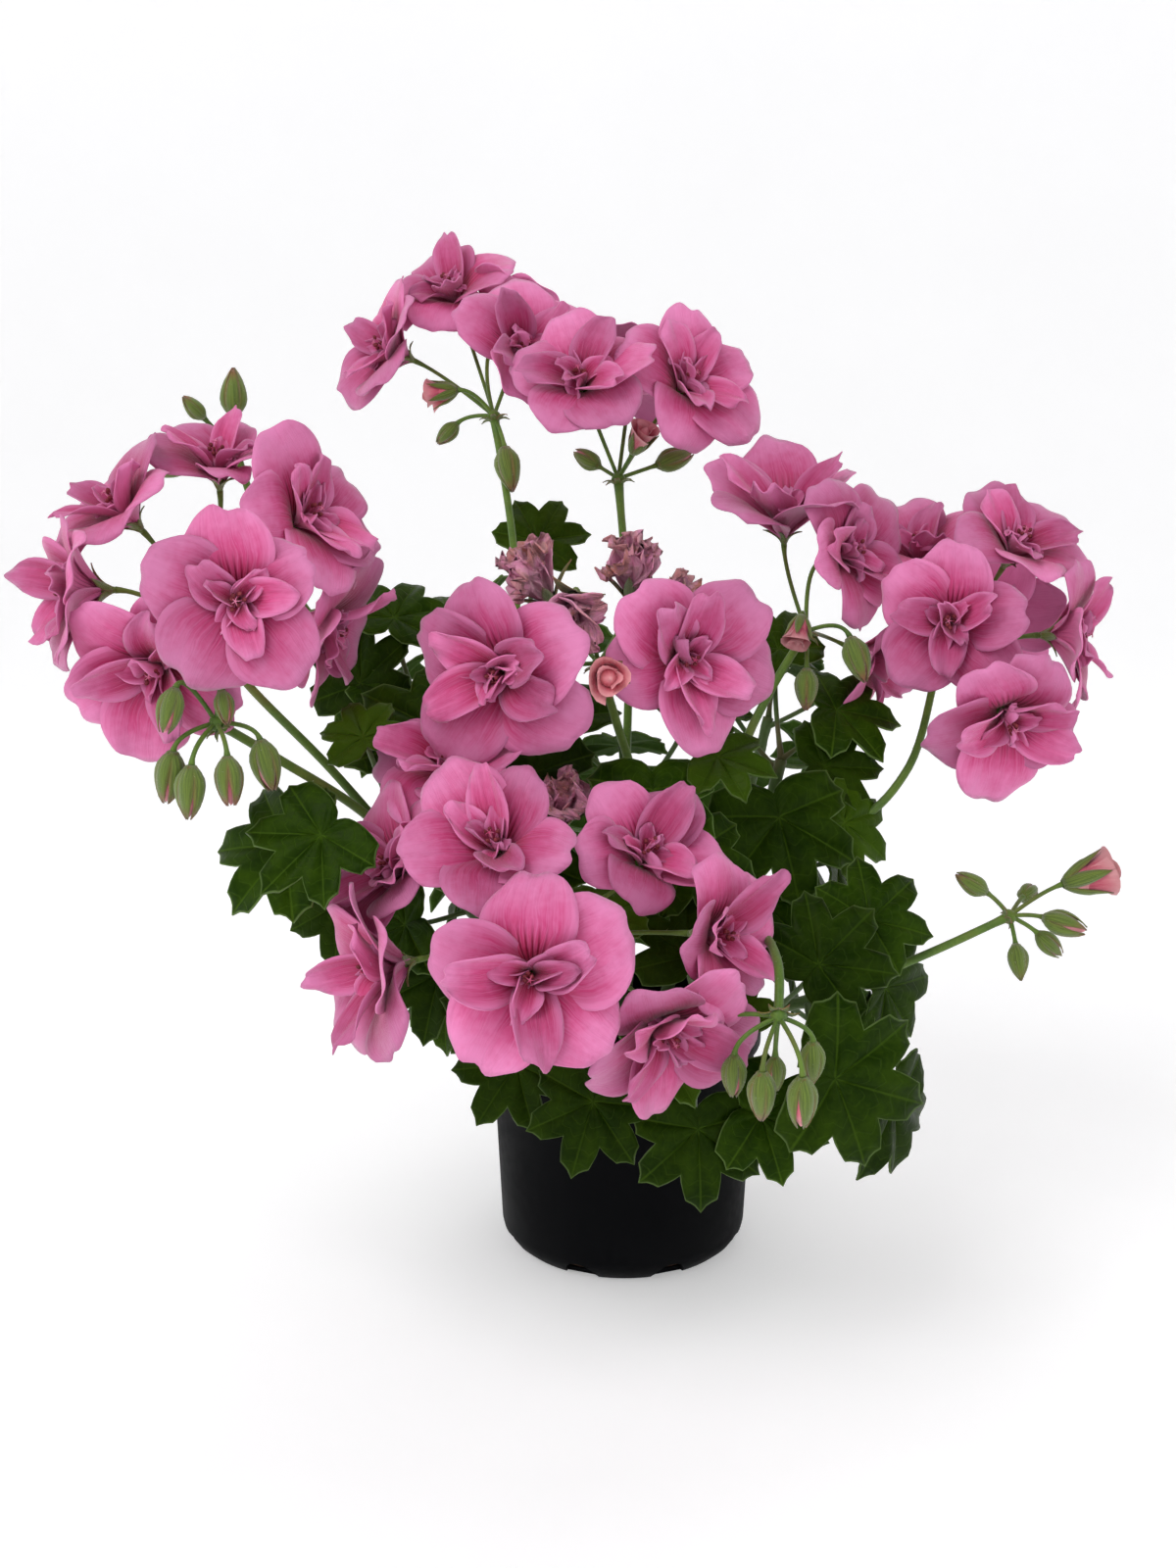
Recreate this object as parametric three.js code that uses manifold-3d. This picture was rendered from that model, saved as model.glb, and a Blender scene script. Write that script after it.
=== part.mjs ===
// A pink ivy geranium in a 10.5 cm black nursery pot, in millimetres, +Z up.
// The origin is the middle of the pot's foot. -Y is the side with the fullest flower head, and +X is to the
// right in that view.
import * as THREE from "three";
import { mergeVertices } from "three/addons/utils/BufferGeometryUtils.js";
import Module from "manifold-3d";

const wasm = await Module();
wasm.setup();

// Driving dimensions.
const CLEARANCE = 0.35; // air left between neighbouring pieces
const BARK = 0.1; // how far round a stem's wood other pieces' clearance may not reach
const WELD = 0.02; // edges shorter than this are closed up after a join or a cut
const ROUND_SIDES = 24; // flats round the pot and the soil
const POT = {
  height: 92,
  rimRadius: 52.6,
  wallTop: 79,
  topRadius: 50.4,
  cornerHeight: 8,
  cornerRadius: 47.2,
  foot: 41.5,
  floor: 1.6,
  wall: 1.5,
};
// Drainage notches through the pot's bottom corner.
const NOTCH = { count: 8, width: 9, depth: 12, height: 7, middle: 1.2 };
const SOIL = { top: 76, crown: 80, ripple: 1.4 };
const STEM = { radius: 2.7, sides: 5, steps: 5 };
const PETIOLE = { radius: 1, sides: 3, steps: 2, bend: 0.35, seat: [1.1, -3.3, -0.1] };
const STALK = { radius: 1.7, sides: 5, steps: 4, knuckle: 3.4 };
const PEDICEL = { radius: 0.85 };
const BUD = { sides: 4, girth: 0.27, neck: 0.17, girthAt: 0.4, neckAt: 0.76 }; // as shares of its length
const CALYX = { sepals: 5, depth: 7.4, tips: 6.4, notches: 3.2, tipDrop: 1.2, notchDrop: 3, heartDrop: 0.65 };
const LEAF = { thickness: 1.2, fold: 0.14, droop: 0.12, unevenness: 0.8 };
const PETAL = { thickness: 1.3, hub: 4.4, throat: 8 }; // throat is the height of the throat over the calyx
// The whorl of broad petals: half angles of a petal in degrees, then heights along its spine as shares.
const WHORL = { valley: 36, shoulder: 34, tip: 13, pinwheel: 0.05, sag: 0.04, knee: [0.26, 0.36], end: 0.98 };
const WHORL_AT = { valley: 0.3, middle: 0.55, shoulder: 0.76, tip: 1 };
// The small free petals, as shares of their length or width.
const FREE = { root: 0.6, foot: 0.8, widest: 0.62, cup: 0.12, corners: [-0.55, 0.45] };

// Finishes.
const finish = (color, roughness) => new THREE.MeshStandardMaterial({ color, roughness, metalness: 0 });
const FINISHES = {
  pot: finish(0x17181b, 0.55),
  soil: finish(0x2b1d14, 0.95),
  leaf: finish(0x2c5220, 0.45),
  stalk: finish(0x557a26, 0.5),
  petal: finish(0xe07ab0, 0.6),
  faded: finish(0xb0708c, 0.8),
};

// Leafy stems: a path from the soil, then leaves as
// [station on the stem, blade seat x, y, z, face azimuth, face elevation, clock of the middle lobe, reach].
// Azimuth 0 faces -Y and 90 faces +X. Clock 0 points the lobe up and 90 to the right as seen from the front.
const LEAFY_STEMS = {
  left_front: {
    path: [[-10, -8, 68], [-32, -20, 108], [-62, -38, 148], [-84, -54, 172]],
    leaves: [
      [1.0, -112, -88, 178, -25, 35, -95, 31],
      [0.95, -98, -112, 188, -8, 35, -140, 26],
      [0.8, -96, -76, 156, -12, 8, 190, 24],
      [0.9, -87, -70, 211, -12, 45, -30, 24],
      [0.6, -78, -50, 140, -30, 20, -120, 26],
      [0.5, -66, -56, 124, -14, 15, 190, 26],
      [0.35, -64, -44, 112, -35, 10, -130, 24],
    ],
  },
  left_back: {
    path: [[-12, 2, 68], [-36, 2, 125], [-60, -4, 178], [-76, -6, 210]],
    leaves: [
      [0.95, -96, -14, 220, -20, 25, -10, 26],
      [1.0, -84, -8, 243, 5, 55, 20, 25],
      [0.85, -66, -42, 208, 0, 35, -110, 34],
      [0.8, -84, -22, 212, -10, 30, 200, 26],
      [0.65, -60, -26, 184, -5, 30, 190, 28],
      [1.0, -66, 8, 238, 20, 60, 60, 24],
      [0.9, -92, 30, 206, -100, 35, -60, 27],
      [0.7, -78, 22, 186, -120, 35, 80, 27],
      [0.45, -58, 16, 140, -100, 25, 110, 26],
      [0.3, -52, 6, 112, -85, 20, 160, 24],
    ],
  },
  front: {
    path: [[-4, -14, 68], [-9, -38, 98], [-14, -56, 116], [-18, -66, 126]],
    leaves: [
      [0.7, -12, -96, 92, -5, 20, 195, 26],
      [0.5, -38, -82, 100, -15, 20, -150, 25],
      [0.9, -42, -76, 116, -10, 35, -80, 24],
      [1.0, -8, -72, 150, 0, 60, 10, 20],
    ],
  },
  right_front: {
    path: [[9, -12, 68], [26, -40, 96], [46, -56, 110], [66, -62, 116]],
    leaves: [
      [0.8, 63, -90, 138, 2, 35, 45, 29],
      [0.6, 34, -104, 124, -5, 35, -30, 19],
      [0.95, 66, -116, 108, 12, 12, 110, 34],
      [1.0, 88, -98, 92, 50, 0, 165, 29],
      [0.35, 23, -100, 84, 4, 14, 178, 28],
      [0.5, 44, -98, 88, 12, 22, 115, 26],
      [0.4, 12, -92, 108, -4, 40, 200, 22],
      [0.4, 27, -78, 144, 0, 35, 0, 20],
      [1.0, 82, -72, 148, 15, 35, 55, 26],
      [0.72, 94, -36, 112, 45, 8, 95, 29],
      [0.85, 78, -52, 98, 35, 5, 150, 26],
    ],
  },
  middle: {
    path: [[0, -2, 68], [2, -8, 120], [6, -22, 162], [6, -32, 184]],
    leaves: [
      [1.0, 8, -74, 194, 0, 42, 180, 28],
      [0.9, 30, -64, 203, 10, 55, 110, 21],
      [0.8, -32, -52, 195, -5, 32, 170, 27],
      [0.95, -22, -22, 208, -20, 55, -40, 25],
      [1.0, 24, -18, 212, 15, 60, 50, 25],
      [0.65, 22, -60, 168, 10, 30, 160, 26],
      [0.6, -34, -36, 160, -15, 25, -150, 27],
    ],
  },
  right_back: {
    path: [[12, -1, 68], [34, -3, 115], [50, -5, 158], [58, -4, 190]],
    leaves: [
      [0.8, 54, -38, 176, 12, 28, 172, 34],
      [1.0, 58, 16, 228, 10, 45, -20, 24],
      [1.0, 78, -2, 208, 25, 50, 105, 27],
      [0.9, 72, -18, 190, 20, 35, 95, 24],
      [0.75, 78, -30, 172, 30, 25, 130, 23],
      [0.95, 36, 10, 220, 5, 55, -40, 24],
      [0.5, 50, -36, 144, 10, 20, 190, 28],
      [0.6, 80, 0, 150, 70, 25, 130, 27],
      [0.7, 82, 20, 176, 100, 30, 70, 27],
      [0.35, 62, 8, 110, 90, 15, 175, 25],
    ],
  },
  back_left: {
    path: [[-8, 12, 68], [-24, 38, 128], [-36, 62, 188], [-38, 76, 232]],
    leaves: [
      [1.0, -34, 88, 262, 10, 40, 30, 24],
      [0.95, -62, 82, 232, -100, 40, 20, 25],
      [0.85, -20, 94, 220, 165, 40, 30, 26],
      [0.75, -66, 76, 194, -125, 30, 100, 28],
      [0.6, -30, 90, 168, 190, 35, 165, 28],
      [0.45, -62, 58, 138, -125, 25, 150, 28],
      [0.3, -44, 60, 100, -145, 15, 175, 27],
      [0.6, -70, 44, 168, -95, 35, 60, 26],
    ],
  },
  back: {
    path: [[0, 15, 68], [1, 46, 104], [3, 76, 134], [4, 96, 146]],
    leaves: [
      [1.0, 4, 128, 150, 178, 30, 175, 30],
      [0.9, -26, 112, 138, 205, 20, 195, 28],
      [0.85, 34, 108, 142, 150, 25, 160, 28],
      [0.6, -14, 90, 98, 190, 10, 180, 27],
      [0.65, 28, 84, 104, 160, 10, 170, 27],
      [0.95, 0, 92, 176, 182, 60, 10, 25],
    ],
  },
  back_right: {
    path: [[8, 12, 68], [30, 38, 120], [52, 60, 166], [60, 70, 192]],
    leaves: [
      [1.0, 66, 88, 214, 150, 45, 20, 26],
      [0.95, 84, 66, 204, 105, 40, 70, 26],
      [0.85, 36, 78, 202, 165, 50, -30, 26],
      [0.8, 82, 78, 172, 125, 25, 140, 28],
      [0.65, 46, 90, 160, 155, 20, 190, 27],
      [0.5, 74, 46, 140, 100, 20, 150, 27],
      [0.3, 52, 54, 104, 125, 10, 175, 27],
    ],
  },
};

// Flower heads. path is the stalk, which ends at the knuckle where the pedicels meet.
// A bloom is [throat x, y, z, face azimuth, face elevation, petal length, turn, cup].
// A bud is [middle x, y, z, length].
// nod is how far the buds hang, from 0, straight out of the knuckle, to 1, straight down.
const HEADS = {
  left: {
    path: [[-78, -50, 166], [-104, -46, 196], [-130, -52, 226], [-142, -66, 248]],
    nod: 0,
    blooms: [
      [-121, -118, 263, 6, 6, 32, 0, 0.3],
      [-153, -94, 237, -10, -14, 31, 30, 0.4],
      [-184, -82, 262, -66, 2, 28, 10, 0.45],
      [-174, -52, 290, -54, 46, 26, 20, 0.5],
      [-142, -28, 306, 4, 64, 25, 50, 0.55],
      [-104, -56, 286, 55, 25, 31, 15, 0.35],
      [-100, -48, 244, 80, -22, 27, 40, 0.4],
    ],
    buds: [],
  },
  left_buds: {
    path: [[-70, -4, 196], [-98, 0, 222], [-126, 4, 258], [-143, 10, 303]],
    nod: 0,
    blooms: [],
    buds: [
      [-142, 8, 323, 17], [-160, 6, 308, 12], [-155, 0, 318, 11],
      [-166, 12, 296, 13], [-125, 8, 303, 12], [-146, 26, 306, 11],
    ],
  },
  low_left_buds: {
    path: [[-70, -46, 158], [-92, -66, 186], [-114, -84, 206], [-132, -100, 222]],
    nod: 0.75,
    blooms: [],
    buds: [
      [-144, -112, 228, 15], [-128, -106, 228, 11], [-146, -108, 206, 17],
      [-138, -116, 203, 17], [-126, -114, 206, 16], [-116, -104, 209, 17],
    ],
  },
  top_left: {
    path: [[-28, 44, 146], [-40, 50, 200], [-43, 58, 262], [-51, 74, 313]],
    nod: 0.35,
    blooms: [
      [-96, 84, 340, -62, 22, 27, 10, 0.45],
      [-70, 100, 365, -25, 52, 27, 40, 0.4],
      [-46, 112, 354, 140, 50, 27, 20, 0.4],
      [-38, 66, 340, 22, 28, 29, 0, 0.45],
    ],
    buds: [[-72, 76, 322, 14], [-70, 80, 306, 12], [-45, 62, 293, 18]],
  },
  top: {
    path: [[2, -8, 120], [1, 18, 172], [2, 35, 235], [-2, 48, 290]],
    nod: 0,
    blooms: [
      [-17, 32, 330, -14, 38, 28, 20, 0.35],
      [26, 46, 328, 30, 30, 29, 5, 0.4],
      [4, 84, 330, 172, 42, 27, 15, 0.45],
    ],
    buds: [[6, 38, 305, 14], [20, 56, 297, 16], [-14, 56, 297, 13]],
  },
  middle: {
    path: [[6, -18, 150], [4, -38, 184], [-4, -42, 212], [-10, -42, 232]],
    nod: 0,
    blooms: [
      [-44, -80, 234, -22, 2, 32, 10, 0.3],
      [20, -72, 238, 22, 4, 31, 35, 0.35],
    ],
    buds: [[-7, -82, 234, 16]],
  },
  right: {
    path: [[46, -8, 158], [42, -24, 196], [52, -18, 218], [66, -5, 238]],
    nod: 0.6,
    blooms: [
      [58, 6, 282, -8, 66, 28, 0, 0.75],
      [82, -12, 268, 48, 18, 29, 25, 0.35],
      [98, 20, 222, 62, -22, 27, 40, 0.4],
    ],
    buds: [[62, -18, 240, 13], [82, -26, 231, 17], [65, -18, 219, 15]],
  },
  far_right: {
    path: [[54, -6, 172], [84, -20, 171], [103, -14, 188], [118, 12, 224]],
    nod: 0,
    blooms: [
      [112, -36, 246, -14, 6, 28, 0, 0.4],
      [144, 0, 272, 28, 52, 27, 20, 0.4],
      [132, -52, 212, 12, -22, 29, 35, 0.35],
      [164, -14, 238, 66, 4, 27, 14, 0.4],
      [110, 22, 268, -30, 68, 26, 30, 0.5],
      [146, 48, 236, 150, 8, 27, 15, 0.45],
    ],
    buds: [],
  },
  right_buds: {
    path: [[60, -58, 114], [90, -50, 122], [112, -48, 131], [136, -46, 142]],
    nod: 0.15,
    blooms: [],
    buds: [
      [122, -46, 154, 13], [164, -43, 156, 20], [153, -56, 142, 16],
      [151, -44, 131, 13], [137, -58, 129, 13], [146, -30, 146, 12],
    ],
  },
  front: {
    path: [[-12, -52, 112], [-22, -62, 134], [-30, -76, 144], [-32, -88, 148]],
    nod: 0,
    blooms: [
      [-31, -152, 154, -2, 6, 34, 0, 0.25],
      [12, -130, 127, 26, -22, 31, 36, 0.4],
      [-82, -120, 146, -62, -4, 29, 10, 0.45],
      [-80, -96, 175, -50, 30, 26, 30, 0.45],
      [-60, -72, 205, -22, 55, 27, 15, 0.5],
      [-44, -116, 188, -14, 42, 26, 40, 0.55],
      [6, -96, 180, 24, 46, 26, 20, 0.45],
      [31, -112, 155, 52, 8, 27, 5, 0.4],
    ],
    buds: [],
  },
  low_right_buds: {
    path: [[38, -46, 106], [44, -84, 146], [47, -116, 146], [46, -130, 134]],
    nod: 1,
    blooms: [],
    buds: [
      [52, -146, 112, 17], [40, -143, 113, 16], [32, -134, 116, 14],
      [28, -122, 121, 12], [57, -130, 119, 14], [46, -122, 112, 12],
    ],
  },
};

// Withered blooms still on the middle and front heads: [throat x, y, z, azimuth, elevation, petal length].
const WITHERED = {
  middle: [
    [-32, -40, 262, -40, 50, 20],
    [-20, -68, 252, -8, -25, 22],
    [2, -30, 264, 10, 60, 19],
    [16, -34, 254, 45, 30, 18],
  ],
  front: [[-22, -70, 190, 8, 60, 18]],
};

// A repeatable number from -1 to 1 for each seed.
function wobble(seed) {
  const s = Math.sin(seed * 127.1 + 11.7) * 43758.5453;
  return 2 * (s - Math.floor(s)) - 1;
}

const vector = (p) => new THREE.Vector3(...p);

// The unit vector that looks to an azimuth and elevation in degrees.
function aim(azimuth, elevation) {
  const a = THREE.MathUtils.degToRad(azimuth);
  const e = THREE.MathUtils.degToRad(elevation);
  return new THREE.Vector3(Math.sin(a) * Math.cos(e), -Math.cos(a) * Math.cos(e), Math.sin(e));
}

// A frame at a point: +Z along the normal, and +Y at a clock angle from straight up, as seen from the front.
function frameAt(point, normal, clock = 0) {
  const up = new THREE.Vector3(0, 0, 1).addScaledVector(normal, -normal.z);
  if (up.lengthSq() < 1e-6) up.set(0, 1, 0);
  up.normalize();
  const right = new THREE.Vector3().crossVectors(up, normal);
  const c = THREE.MathUtils.degToRad(clock);
  const y = up.multiplyScalar(Math.cos(c)).addScaledVector(right, Math.sin(c));
  const x = new THREE.Vector3().crossVectors(y, normal);
  return new THREE.Matrix4().makeBasis(x, y, normal).setPosition(point);
}

// A closed three.js geometry as a manifold-3d solid.
function solid(geometry) {
  const bare = geometry.index ? geometry.toNonIndexed() : geometry.clone();
  bare.deleteAttribute("normal");
  bare.deleteAttribute("uv");
  const merged = mergeVertices(bare, 1e-4);
  const vertProperties = merged.attributes.position.array;
  const triVerts = new Uint32Array(merged.index.array);
  return new wasm.Manifold(new wasm.Mesh({ numProp: 3, vertProperties, triVerts, tolerance: WELD }));
}

// A manifold-3d solid as a flat-shaded three.js geometry.
function geometryOf(body) {
  const mesh = body.getMesh();
  const positions = new Float32Array(mesh.numVert * 3);
  for (let i = 0; i < mesh.numVert; i++) {
    positions.set(mesh.vertProperties.subarray(i * mesh.numProp, i * mesh.numProp + 3), i * 3);
  }
  const indexed = new THREE.BufferGeometry();
  indexed.setAttribute("position", new THREE.BufferAttribute(positions, 3));
  indexed.setIndex(new THREE.BufferAttribute(mesh.triVerts, 1));
  const flat = indexed.toNonIndexed();
  flat.computeVertexNormals();
  return flat;
}

const join = (solids) => solids.reduce((a, b) => a.add(b));

const placed = (geometry, frame) => solid(geometry.clone().applyMatrix4(frame));

// The body that holds most of a solid, without the scraps that a cut leaves.
function largest(body) {
  const bodies = body.decompose();
  return bodies.reduce((a, b) => (a.volume() > b.volume() ? a : b));
}

// A thin closed blade on both sides of a mid-surface. rim runs round its boundary the way the triangles do,
// and half is the half thickness at each point, 0 where the two faces meet in an edge.
function blade(points, triangles, rim, half) {
  const normals = points.map(() => new THREE.Vector3());
  for (const [a, b, c] of triangles) {
    const edge = points[b].clone().sub(points[a]);
    const face = edge.cross(points[c].clone().sub(points[a]));
    for (const i of [a, b, c]) normals[i].add(face);
  }
  const positions = [];
  const put = (i, side) => {
    const p = points[i].clone().addScaledVector(normals[i].normalize(), side * half[i]);
    positions.push(p.x, p.y, p.z);
    return positions.length / 3 - 1;
  };
  const top = points.map((_, i) => put(i, 1));
  const bottom = points.map((_, i) => (half[i] > 0 ? put(i, -1) : top[i]));
  const index = [];
  const face = (a, b, c) => {
    if (a !== b && b !== c && c !== a) index.push(a, b, c);
  };
  for (const [a, b, c] of triangles) {
    face(top[a], top[b], top[c]);
    face(bottom[a], bottom[c], bottom[b]);
  }
  rim.forEach((i, n) => {
    const j = rim[(n + 1) % rim.length];
    face(top[j], top[i], bottom[i]);
    face(top[j], bottom[i], bottom[j]);
  });
  const geometry = new THREE.BufferGeometry();
  geometry.setAttribute("position", new THREE.Float32BufferAttribute(positions, 3));
  geometry.setIndex(index);
  return geometry;
}

// A round bar of constant radius along a smooth curve through the points.
function bar(points, radius, { sides, steps }, grow = 0) {
  const path = points.map((p) => p.clone());
  const last = path.length - 1;
  path[0].addScaledVector(path[0].clone().sub(path[1]).normalize(), grow);
  path[last].addScaledVector(path[last].clone().sub(path[last - 1]).normalize(), grow);
  const section = new THREE.Shape(
    Array.from({ length: sides }, (_, i) => {
      const a = (2 * Math.PI * i) / sides;
      return new THREE.Vector2(Math.cos(a), Math.sin(a)).multiplyScalar(radius + grow);
    }),
  );
  const extrudePath = new THREE.CatmullRomCurve3(path);
  return new THREE.ExtrudeGeometry(section, { steps, extrudePath, bevelEnabled: false });
}

// A solid of revolution about +Z from [radius, height] points that start and end on the axis.
function turned(profile, sides) {
  const points = profile.map(([r, z]) => new THREE.Vector2(r, z));
  return new THREE.LatheGeometry(points, sides).rotateX(Math.PI / 2);
}

// The outer whorl of a bloom, or one petal of it, in the bloom's frame, where +Z is the way it faces.
// The petals share one funnel and are cut apart down to their claws, each with a shoulder over the next.
function whorl(petals, length, cup, grow = 0) {
  const { valley, shoulder, tip, pinwheel, sag, knee, end } = WHORL;
  const spine = new THREE.QuadraticBezierCurve(
    new THREE.Vector2(0, PETAL.hub / 2),
    new THREE.Vector2(...knee).multiplyScalar(length),
    new THREE.Vector2(end, cup).multiplyScalar(length),
  );
  const points = [];
  const half = [];
  const put = (degrees, along, { reach, lift }, raise, halfThickness) => {
    const a = THREE.MathUtils.degToRad(degrees);
    const at = spine.getPoint(along);
    const r = along > WHORL_AT.middle ? at.x * reach + grow : at.x;
    const z = at.y + (lift * along * along + raise) * length;
    points.push(new THREE.Vector3(Math.cos(a) * r, Math.sin(a) * r, z));
    half.push(halfThickness + grow);
    return points.length - 1;
  };
  const even = { reach: 1, lift: 0 };
  const centre = put(0, 0, even, 0, PETAL.hub / 2);
  const first = put(petals[0].turn - valley, WHORL_AT.valley, even, 0, 0);
  const triangles = [];
  const rim = petals.length > 1 ? [first] : [centre, first];
  let before = first;
  petals.forEach((petal, n) => {
    const { turn, ruffle } = petal;
    const middle = put(turn, WHORL_AT.middle, petal, -sag, PETAL.thickness / 2);
    const a = put(turn - shoulder, WHORL_AT.shoulder, petal, pinwheel, 0);
    const b = put(turn - tip, WHORL_AT.tip, petal, ruffle, 0);
    const c = put(turn + tip, WHORL_AT.tip, petal, -ruffle, 0);
    const d = put(turn + shoulder, WHORL_AT.shoulder, petal, -pinwheel, 0);
    const closing = n === petals.length - 1 && petals.length > 1;
    const after = closing ? first : put(turn + valley, WHORL_AT.valley, even, 0, 0);
    triangles.push([centre, before, middle], [centre, middle, after]);
    triangles.push([before, a, middle], [a, b, middle], [b, c, middle], [c, d, middle], [middle, d, after]);
    rim.push(a, b, c, d);
    if (!closing) rim.push(after);
    before = after;
  });
  return blade(points, triangles, rim, half);
}

// One free petal, narrow at its foot, that leans out from the bloom's axis and curls over at its end.
function freePetal({ turn, length, width, lean, curl }, grow = 0) {
  const { root, foot, widest, cup, corners } = FREE;
  const at = (along, across) => {
    const r = root + length * along * Math.sin(lean + curl * along);
    const z = foot * PETAL.hub + length * along * Math.cos(lean + curl * along);
    return new THREE.Vector3(r, across * (0.5 * width + grow), z - cup * width * Math.abs(across));
  };
  const end = 1 + grow / length;
  const [left, right] = corners;
  const points = [at(0, 0), at(widest, -1), at(widest, 1), at(end, left), at(end, right), at(widest, 0)];
  const triangles = [[0, 1, 5], [0, 5, 2], [1, 3, 5], [3, 4, 5], [4, 2, 5]];
  const half = [0, 0, 0, 0, 0, PETAL.thickness / 2].map((h) => h + grow);
  return blade(points, triangles, [0, 1, 3, 4, 2], half).rotateZ(turn);
}

// A semi-double bloom: a whorl of broad petals, and small upright ones round the throat.
function pinkBloom([, , , , , length, turn, cup], seed) {
  const petals = Array.from({ length: 5 }, (_, i) => {
    const k = seed * 31 + i;
    return {
      turn: turn + 90 + 72 * i,
      reach: 1 + 0.09 * wobble(k + 0.3),
      lift: 0.12 * wobble(k + 0.7),
      ruffle: 0.04 + 0.05 * wobble(k + 0.1),
    };
  });
  const small = Array.from({ length: 3 }, (_, i) => {
    const k = seed * 31 + 10 + i;
    return {
      turn: THREE.MathUtils.degToRad(turn + 30 + 120 * i + 20 * wobble(k)),
      length: length * (0.64 + 0.08 * wobble(k + 0.3)),
      width: length * (0.42 + 0.06 * wobble(k + 0.5)),
      lean: 0.3 + 0.12 * wobble(k + 0.7),
      curl: 0.45 + 0.15 * wobble(k + 0.9),
    };
  });
  return (grow) => {
    const free = small.map((p) => solid(freePetal(p, grow)));
    const outer = grow
      ? petals.map((p) => solid(whorl([p], length, cup, grow)))
      : [solid(whorl(petals, length, cup))];
    return join([...outer, ...free]);
  };
}

// A withered bloom: narrow petals that have shrunk and bent over.
function witheredBloom([, , , , , length], seed) {
  const petals = Array.from({ length: 5 }, (_, i) => {
    const k = seed * 17 + i;
    return {
      turn: THREE.MathUtils.degToRad(72 * i + 20 * wobble(k)),
      length: length * (1 + 0.2 * wobble(k + 0.3)),
      width: length * (0.36 + 0.08 * wobble(k + 0.5)),
      lean: 0.1,
      curl: 0.7 + 0.5 * wobble(k + 0.7),
    };
  });
  return (grow) => join([solid(hub(grow)), ...petals.map((p) => solid(freePetal(p, grow)))]);
}

// The heart of a withered bloom, with z = 0 on the green calyx.
function hub(grow = 0) {
  const height = PETAL.hub;
  return turned([[0, -grow], [0.4 * height + grow, 0.6 * height], [0, height + grow]], CALYX.sepals);
}

// A leaf blade in its own frame: petiole at the origin, middle lobe along +Y, upper face +Z.
const LEAF_OUTLINE = [
  [0, 1, 0],
  [25, 0.66, 1],
  [50, 0.92, 0],
  [76, 0.62, 1],
  [102, 0.78, 0],
  [142, 0.58, 0.6],
  [180, 0.26, 0.6],
];
function leaf(reach, droop, grow = 0) {
  const mirrored = LEAF_OUTLINE.slice(1, -1).reverse().map(([a, share, fold]) => [-a, share, fold]);
  const outline = [...LEAF_OUTLINE, ...mirrored].reverse();
  const points = [new THREE.Vector3()];
  for (const [degrees, share, fold] of outline) {
    const a = THREE.MathUtils.degToRad(degrees);
    const r = reach * share + grow;
    const z = reach * (LEAF.fold * fold * share - droop * share * share);
    points.push(new THREE.Vector3(Math.sin(a) * r, Math.cos(a) * r, z));
  }
  const rim = outline.map((_, i) => i + 1);
  const triangles = rim.map((i, n) => [0, i, rim[(n + 1) % rim.length]]);
  const half = points.map((_, i) => (i === 0 ? LEAF.thickness / 2 : 0) + grow);
  return blade(points, triangles, rim, half);
}

// A ring of points round a centre, square to a direction, whose corners keep step with those of a frame.
function ring(centre, direction, frame, radii) {
  const [x, y, z] = [new THREE.Vector3(), new THREE.Vector3(), new THREE.Vector3()];
  frame.extractBasis(x, y, z);
  const turn = new THREE.Quaternion().setFromUnitVectors(z, direction);
  return radii.map((r, i) => {
    const a = (2 * Math.PI * i) / radii.length;
    const spoke = x.clone().multiplyScalar(r * Math.cos(a)).addScaledVector(y, r * Math.sin(a));
    return spoke.applyQuaternion(turn).add(centre);
  });
}

// A closed skin over rings that lie one after another. The first is capped and the last is a single point.
// A ring may have twice as many points as the one before it.
function skin(rings) {
  const starts = rings.map((_, k) => rings.slice(0, k).reduce((sum, r) => sum + r.length, 0));
  const index = [];
  for (let i = 2; i < rings[0].length; i++) index.push(0, i, i - 1);
  for (let k = 1; k < rings.length; k++) {
    const count = rings[k - 1].length;
    const ratio = rings[k].length / count;
    const low = (i) => starts[k - 1] + (i % count);
    const high = (i) => starts[k] + (Math.floor(i) % rings[k].length);
    for (let i = 0; i < count; i++) {
      index.push(low(i), low(i + 1), high(ratio * (i + 1)));
      if (ratio < 1) continue;
      for (let j = ratio * (i + 1); j > ratio * i; j--) index.push(low(i), high(j), high(j - 1));
    }
  }
  const geometry = new THREE.BufferGeometry().setFromPoints(rings.flat());
  geometry.setIndex(index);
  return geometry;
}

// A pedicel from the knuckle that swells into a pointed bud.
function budOnPedicel(knuckle, foot, frame, length, grow = 0) {
  const axis = new THREE.Vector3().setFromMatrixColumn(frame, 2);
  const out = foot.clone().sub(knuckle).normalize();
  const between = axis.clone().add(out).normalize();
  const along = (share) => foot.clone().addScaledVector(axis, share * length);
  const round = (radius) => new Array(BUD.sides).fill(radius + grow);
  return skin([
    ring(knuckle, out, frame, round(PEDICEL.radius)),
    ring(foot, between, frame, round(PEDICEL.radius)),
    ring(along(BUD.girthAt), axis, frame, round(BUD.girth * length)),
    ring(along(BUD.neckAt), axis, frame, round(BUD.neck * length)),
    [along(1).addScaledVector(axis, grow)],
  ]);
}

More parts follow.
